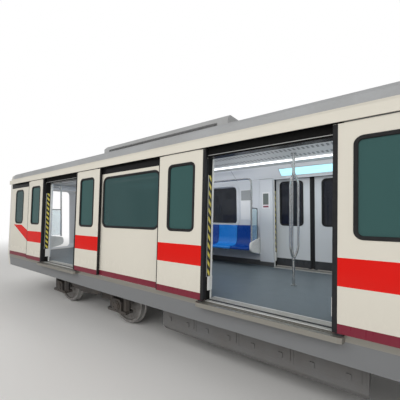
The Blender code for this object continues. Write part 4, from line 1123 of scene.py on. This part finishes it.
def wall_box(side, x, out, up, bevel=0.004):
    """A box on the wall's inner face, its edges cut, between bounds along, out and up."""
    base, shoulder, face = out[0], out[1] + bevel, out[1]
    half = [(x[1], base), (x[1], shoulder), (x[1] - bevel, face)]
    return upright(side, [(x[0], base), *half, (x[0] + bevel, face), (x[0], shoulder)], up)


for name, side in SIDES:
    posts, kicks, boards, frames = [], [], [], []
    for x in DOORWAYS:
        for sign in (-1, 1):
            jamb = x + sign * DOORWAY / 2
            span = sorted(jamb + sign * reach for reach in (POST_FROM_JAMB, POST_FROM_JAMB + POST_WIDTH))
            face = INSIDE + POST_OUT
            posts.append(wall_box(side, span, (INSIDE, face), POST_UP, POST_BEVEL))
            kicks.append(wall_box(side, span, (INSIDE, face + POST_KICK[0]), (0.002, POST_KICK[1])))
            middle = (span[0] + span[1]) / 2
            rim, inner = [(middle - half, middle + half) for half in (BOARD_HALF + BOARD_RIM, BOARD_HALF)]
            frames.append(wall_box(side, rim, (face + 0.0005, face - 0.004), BOARD_FRAME_UP))
            for up in (BOARD_UP, LABEL_UP):
                boards.append(wall_box(side, inner, (face - 0.0035, face - 0.0055), up, 0.001))
    ends = [x + sign * (DOORWAY / 2 + POST_WIDTH + 0.02) for x in DOORWAYS for sign in (-1, 1)]
    stations = [0.01 - SHELL, *ends, SHELL - 0.01]
    for span in zip(stations[::2], stations[1::2]):
        kicks.append(wall_box(side, span, (INSIDE, INSIDE - WALL_KICK[0]), (0.002, WALL_KICK[1])))
    for x in (-PITCH, 0, PITCH):
        for sign in (-1, 1):
            span = sorted(x + sign * reach for reach in BAY_BOARD)
            inner = (span[0] + 0.012, span[1] - 0.012)
            frames.append(wall_box(side, span, (INSIDE, INSIDE - 0.007), BAY_BOARD_UP, 0.003))
            boards.append(wall_box(side, inner, (INSIDE - 0.006, INSIDE - 0.0085), BAY_PANEL_UP, 0.001))
    piece(f"door_posts_{name}", posts, lining)
    piece(f"kick_strips_{name}", kicks, kick_strip)
    piece(f"board_frames_{name}", frames, board_frame)
    piece(f"boards_{name}", boards, board)

# The benches
# Moulded seats, azure and deep blue in turn, on a steel beam that brackets hold off the wall. A post
# rises from each white end wing to the rail overhead, beside a hoop that holds a sheet of pale glass.
SEAT = 0.47
SEAT_GAP = 0.004
SEAT_DIP = 0.022
SEAT_ROLL = 0.006
WING_THICK = 0.044
WING_TOP = 0.575
POST_IN = 0.49
HOOP_REACH = 0.33
HOOP_TOP = 1.26
HOOP_RADIUS = 0.011
HOOP_BEND = 0.06
SHEET_HALF = 0.004
RAIL_TOP = 1.88
RAIL_RADIUS = 0.019
RAIL_BEND = 0.10
SOCKET_RADIUS = 0.0215
BEAM_IN = (0.20, 0.24)
BEAM_UP = (0.36, 0.39)
BRACKET_IN = (-0.01, 0.42)
AZURE = (0.012, 0.190, 0.600)
DEEP_BLUE = (0.003, 0.046, 0.260)
WING_WHITE = (0.700, 0.700, 0.680)


def moulded(name, colour, **uniform):
    """A glossy moulding whose colour is worn a little darker in patches."""
    worn = tuple(0.75 * part + 0.01 for part in colour)
    grain = (800, 1, 0.0002, 0.5)
    return mottled(name, (colour, worn), ((12, 4, 0.35),), (60, 0.12, 0.22), grain, **uniform)


azure = moulded("azure_seat_moulding", AZURE, Specular_IOR_Level=0.4)
deep_blue = moulded("deep_blue_seat_moulding", DEEP_BLUE, Specular_IOR_Level=0.4)
wing_white = moulded("white_wing_moulding", WING_WHITE)
steel = drawn(
    "brushed_steel_tube", ((0.74, 0.73, 0.71), (0.56, 0.55, 0.53)), 90, 0.08, (0.18, 0.16), 1
)
hoop_steel = mottled(
    "dark_hoop_enamel", ((0.070, 0.078, 0.080), (0.120, 0.130, 0.130)), ((20, 3, 1),),
    (50, 0.15, 0.30),
)
screen_glass = mottled(
    "pale_screen_glass", ((0.40, 0.66, 0.74), (0.52, 0.74, 0.80)), ((3, 3, 0.4),),
    (10, 0.05, 0.05), Alpha=0.30, IOR=1.45,
)
SEAT_SECTION = np.array([
    (0.008, 0.880), (0.030, 0.893), (0.052, 0.880), (0.060, 0.800), (0.072, 0.640), (0.098, 0.520),
    (0.150, 0.462), (0.230, 0.440), (0.340, 0.440), (0.440, 0.452), (0.486, 0.448), (0.504, 0.428),
    (0.500, 0.400), (0.460, 0.392), (0.300, 0.388), (0.140, 0.400), (0.070, 0.440), (0.030, 0.560),
    (0.014, 0.700),
])
WING_OUTLINE = np.array([
    (0.004, 0.250), (0.300, 0.318), (0.440, 0.352), (0.505, 0.385), (0.530, 0.425), (0.532, 0.500),
    (0.515, 0.550), (0.470, 0.573), (0.300, 0.590), (0.004, 0.615),
])


def seat(side, x):
    """One moulded seat: its section on a grid, by the share of the half width from -1 to 1.

    The pan and the back sink by a parabola of that share. The pan's edges roll up and its nose draws
    in by the share's sixth power.
    """
    share = np.linspace(-1, 1, 17)[:, None]
    sink, edge = SEAT_DIP * (1 - share * share), share ** 6
    reach, height = SEAT_SECTION.T
    pan = np.clip((reach - 0.10) / 0.10, 0, 1) * np.clip((0.50 - reach) / 0.05, 0, 1) * (height > 0.425)
    height = height + (SEAT_ROLL * edge - sink) * pan
    reach = reach - sink * ((reach < 0.10) & (reach > 0.05))
    reach = reach * (1 - 0.10 * edge * (reach > 0.45))
    return loft(on_side(side, x + share * (SEAT / 2 - SEAT_GAP), -WALL - reach, height))


def wing(side, x, sign):
    """A white end wing: its outline, drawn in a little at both faces, carried across its thickness."""
    away = WING_OUTLINE - WING_OUTLINE.mean(0)
    away /= np.linalg.norm(away, axis=1, keepdims=True)
    rings = []
    for depth, shrink in ((0, 0.008), (0.007, 0), (WING_THICK - 0.007, 0), (WING_THICK, 0.008)):
        ring = WING_OUTLINE - away * shrink
        ring[:, 0] = np.maximum(ring[:, 0], 0.002)
        rings.append(on_side(side, x + sign * depth, -WALL - ring[:, 0], ring[:, 1]))
    return loft(rings)


def bent(points, reach, steps=6):
    """A path whose corners are rounded: a quadratic curve that starts and ends a reach off each corner."""
    points = np.asarray(points, float)
    path = [points[0]]
    t = np.linspace(0, 1, steps + 1)[:, None]
    for before, corner, after in zip(points, points[1:], points[2:]):
        start = corner + (before - corner) * min(reach / np.linalg.norm(before - corner), 0.5)
        stop = corner + (after - corner) * min(reach / np.linalg.norm(after - corner), 0.5)
        path += list((1 - t) ** 2 * start + 2 * t * (1 - t) * corner + t * t * stop)
    path.append(points[-1])
    return np.array(path)


BENCHES = [((a + b) / 2, 5) for a, b in zip(DOORWAYS, DOORWAYS[1:])]
BENCHES += [(sign * (END_JAMB + 0.35 + 1.5 * SEAT), 3) for sign in (-1, 1)]
for name, side in SIDES:
    light, dark, wings, rails, hoops, sheets = [], [], [], [], [], []
    for x, seats in BENCHES:
        half = seats * SEAT / 2
        for k in range(seats):
            (dark if k % 2 == 0 else light).append(seat(side, x - half + SEAT * (k + 0.5)))
        y = side * (FACE - WALL - POST_IN)
        edge = y + side * HOOP_REACH
        foot, top, head = FLOOR + WING_TOP, FLOOR + HOOP_TOP, FLOOR + RAIL_TOP
        post = half + WING_THICK / 2
        path = [(x - post, y, foot), (x - post, y, head), (x + post, y, head), (x + post, y, foot)]
        rails.append(tube(bent(path, RAIL_BEND, 8), RAIL_RADIUS, 16))
        for sign in (-1, 1):
            wings.append(wing(side, x + sign * half, sign))
            end = x + sign * post
            socket = [(end, y, foot - 0.01), (end, y, foot + 0.025)]
            rails.append(tube(socket, SOCKET_RADIUS, 20))
            hoop = [(end, y, top), (end, edge, top), (end, edge, foot + 0.018)]
            hoops.append(tube(bent(hoop, HOOP_BEND), HOOP_RADIUS, 10))
            near, far = y + side * 0.022, edge - side * 0.012
            corners = [(near, foot + 0.012), (far, foot + 0.022), (far, top - 0.014), (near, top - 0.014)]
            sheets.append(along_car(corners, (end - SHEET_HALF, end + SHEET_HALF)))
        beam, arm = [
            sorted(side * (FACE - WALL - reach) for reach in bounds) for bounds in (BEAM_IN, BRACKET_IN)
        ]
        under = FLOOR + BEAM_UP[0]
        rails.append(slab((x - half + 0.01, x + half - 0.01), beam, (under, FLOOR + BEAM_UP[1]), 0.004))
        for place in (x - half / 2, x + half / 2):
            rails.append(slab((place - 0.02, place + 0.02), arm, (under - 0.025, under + 0.002), 0.004))
    nodes = [f"bench_{name}_{k + 1}" for k in range(len(BENCHES))]
    for kind, skins, finish, slot in (
        ("azure_seats", light, azure, "seat_blue"),
        ("deep_blue_seats", dark, deep_blue, "seat_blue"),
        ("bench_wings", wings, wing_white, "pale_panel"),
        ("bench_rails", rails, steel, "bright_steel"),
        ("bench_hoops", hoops, hoop_steel, "bright_steel"),
        ("screen_sheets", sheets, screen_glass, "pale_panel"),
    ):
        piece(f"{kind}_{name}", skins, finish, replaces=nodes)

# The triple poles
# A brushed steel pole stands at the middle of each doorway. It parts into three bowed branches and joins
# again under the ceiling, with a turned collar at each joint and a flange at each end.
POLE = 0.0215
BRANCH = 0.0165
FLANGE = 0.044
FLANGE_UP = 0.018
COLLAR = (0.029, 0.024)
COLLAR_UP = 0.03
PARTING = (0.42, 1.77)
BOW = 0.068
BOW_RISE = 0.24
BOW_FALL = 0.20


def triple_pole(x):
    """The trunk and three branches: each bows out by a parabola's rise and comes back by another."""
    foot, head = 0.001, CEILING - 0.001
    low, high = PARTING
    skins = [
        tube([(x, 0, FLOOR + up) for up in heights], radius, sides)
        for heights, radius, sides in (
            ((foot, foot + FLANGE_UP), FLANGE, 24),
            ((head - FLANGE_UP, head), FLANGE, 24),
            ((foot, low + 0.01), POLE, 20),
            ((high - 0.01, head), POLE, 20),
            ((low - COLLAR_UP, low, low + COLLAR_UP), [POLE, *COLLAR], 20),
            ((high - COLLAR_UP, high, high + COLLAR_UP), [*COLLAR[::-1], POLE], 20),
        )
    ]
    up = np.linspace(low, high, 40)
    rise = np.clip((up - low) / BOW_RISE, 0, 1)
    fall = np.clip((high - up) / BOW_FALL, 0, 1)
    bow = BOW * (1 - (1 - rise) ** 2) * (1 - (1 - fall) ** 2)
    for branch in range(3):
        angle = math.tau * branch / 3
        path = np.stack([x + bow * math.cos(angle), bow * math.sin(angle), FLOOR + up], 1)
        skins.append(tube(path, BRANCH, 14))
    return skins


for k, x in enumerate(DOORWAYS):
    node = f"triple_pole_{k + 1}"
    piece(node + "_tubes", triple_pole(x), steel, replaces=(node,))

# The stage
# A plain pale floor that fades to white away from the car. Broad lamps stand over both sides and one
# end, two light the saloon, and only the camera, metal and glass see how white the surround is.
FLOOR_HALF = 80
FADE = (12, 30)
SURROUND = 0.45


def floor_look(place, x, y, z):
    mottle = place.noise(0.6, 2) * 0.2
    return {"Base Color": mottle.mix((0.80, 0.79, 0.77), (0.76, 0.75, 0.73))}


def fade_to_white(finish, near, far):
    """For the camera alone, the finish turns plain white between two distances from the car's middle."""
    tree = finish.node_tree
    place = Wire(tree).add("TexCoord", {}, "Object")
    away = place.add("VectorMath", {0: place}, "Value", operation="LENGTH")
    share = away.add("MapRange", {0: away, 1: near, 2: far}, interpolation_type="SMOOTHSTEP")
    seen = share * Wire(tree).add("LightPath", {}, "Is Camera Ray")
    white = Wire(tree).add("Emission", {"Color": (1, 1, 1, 1), "Strength": 1})
    matt = Wire(tree, tree.nodes["Principled BSDF"].outputs["BSDF"])
    surface = Wire(tree).add("MixShader", {0: seen, 1: matt, 2: white})
    tree.links.new(surface.socket, tree.nodes["Material Output"].inputs["Surface"])
    return finish


def stage_floor(size, finish):
    mesh = bpy.data.meshes.new("floor")
    square = [(-size, -size, 0), (size, -size, 0), (size, size, 0), (-size, size, 0)]
    mesh.from_pydata(square, [], [(0, 1, 2, 3)])
    mesh.materials.append(finish)
    made = bpy.data.objects.new("floor", mesh)
    bpy.context.scene.collection.objects.link(made)
    made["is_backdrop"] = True


def lamp(name, place, aim, size, power):
    light = bpy.data.lights.new(name, "AREA")
    light.shape = "RECTANGLE"
    light.size, light.size_y = size
    light.energy = power
    made = bpy.data.objects.new(name, light)
    made.location = place
    made.rotation_euler = (Vector(aim) - Vector(place)).to_track_quat("-Z", "Y").to_euler()
    made.visible_camera = False
    made.visible_glossy = False
    bpy.context.scene.collection.objects.link(made)


stage_floor(FLOOR_HALF, fade_to_white(material("pale_floor", floor_look, Roughness=0.9), *FADE))
lamp("near_lamp", (-3, -14, 10), (-2, 0, 2), (22, 8), 1500)
lamp("far_lamp", (3, 14, 11), (2, 0, 2), (22, 8), 1100)
lamp("end_lamp", (20, -4, 9), (8, 0, 2), (8, 8), 500)
lamp("saloon_lamp", (0, 0, FLOOR + CEILING - 0.05), (0, 0, 0), (18, 1.4), 150)
lamp("ceiling_lamp", (0, 0, FLOOR + 0.9), (0, 0, 20), (17, 1), 90)

world = bpy.data.worlds.new("surround")
world.use_nodes = True
bpy.context.scene.world = world
tree = world.node_tree
background = tree.nodes["Background"]
seen = Wire(tree).add("LightPath", {}, "Is Camera Ray")
mirror, through = [
    Wire(tree, seen.socket.node.outputs[kind]) for kind in ("Is Glossy Ray", "Is Transmission Ray")
]
white = seen.maths("MAXIMUM", mirror * SURROUND).maths("MAXIMUM", through)
tree.links.new(white.maths("MAXIMUM", SURROUND).socket, background.inputs["Strength"])
background.inputs["Color"].default_value = (1, 1, 1, 1)

# The camera
# It stands beside the second doorway, 2.8 m from the leaves and 1.1 m over the floor, and looks level
# along the car at 51 degrees to it.
DISTANCE = 2.841
ABREAST = -1.181
EYE = 1.107
TURN = math.radians(50.85)
SENSOR = 36
LENS = 23.32
SHIFT = (0.08, 0.0386)
camera_data = bpy.data.cameras.new("camera")
camera_data.sensor_width = SENSOR
camera_data.lens = LENS
camera_data.shift_x, camera_data.shift_y = SHIFT
camera = bpy.data.objects.new("camera", camera_data)
camera.location = (ABREAST, -FACE - LEAF_OUT[1] - DISTANCE, FLOOR + EYE)
direction = Vector((-math.cos(TURN), math.sin(TURN), 0))
camera.rotation_euler = direction.to_track_quat("-Z", "Y").to_euler()
bpy.context.scene.collection.objects.link(camera)
bpy.context.scene.camera = camera
bpy.context.scene.view_settings.view_transform = "Standard"

low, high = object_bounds()
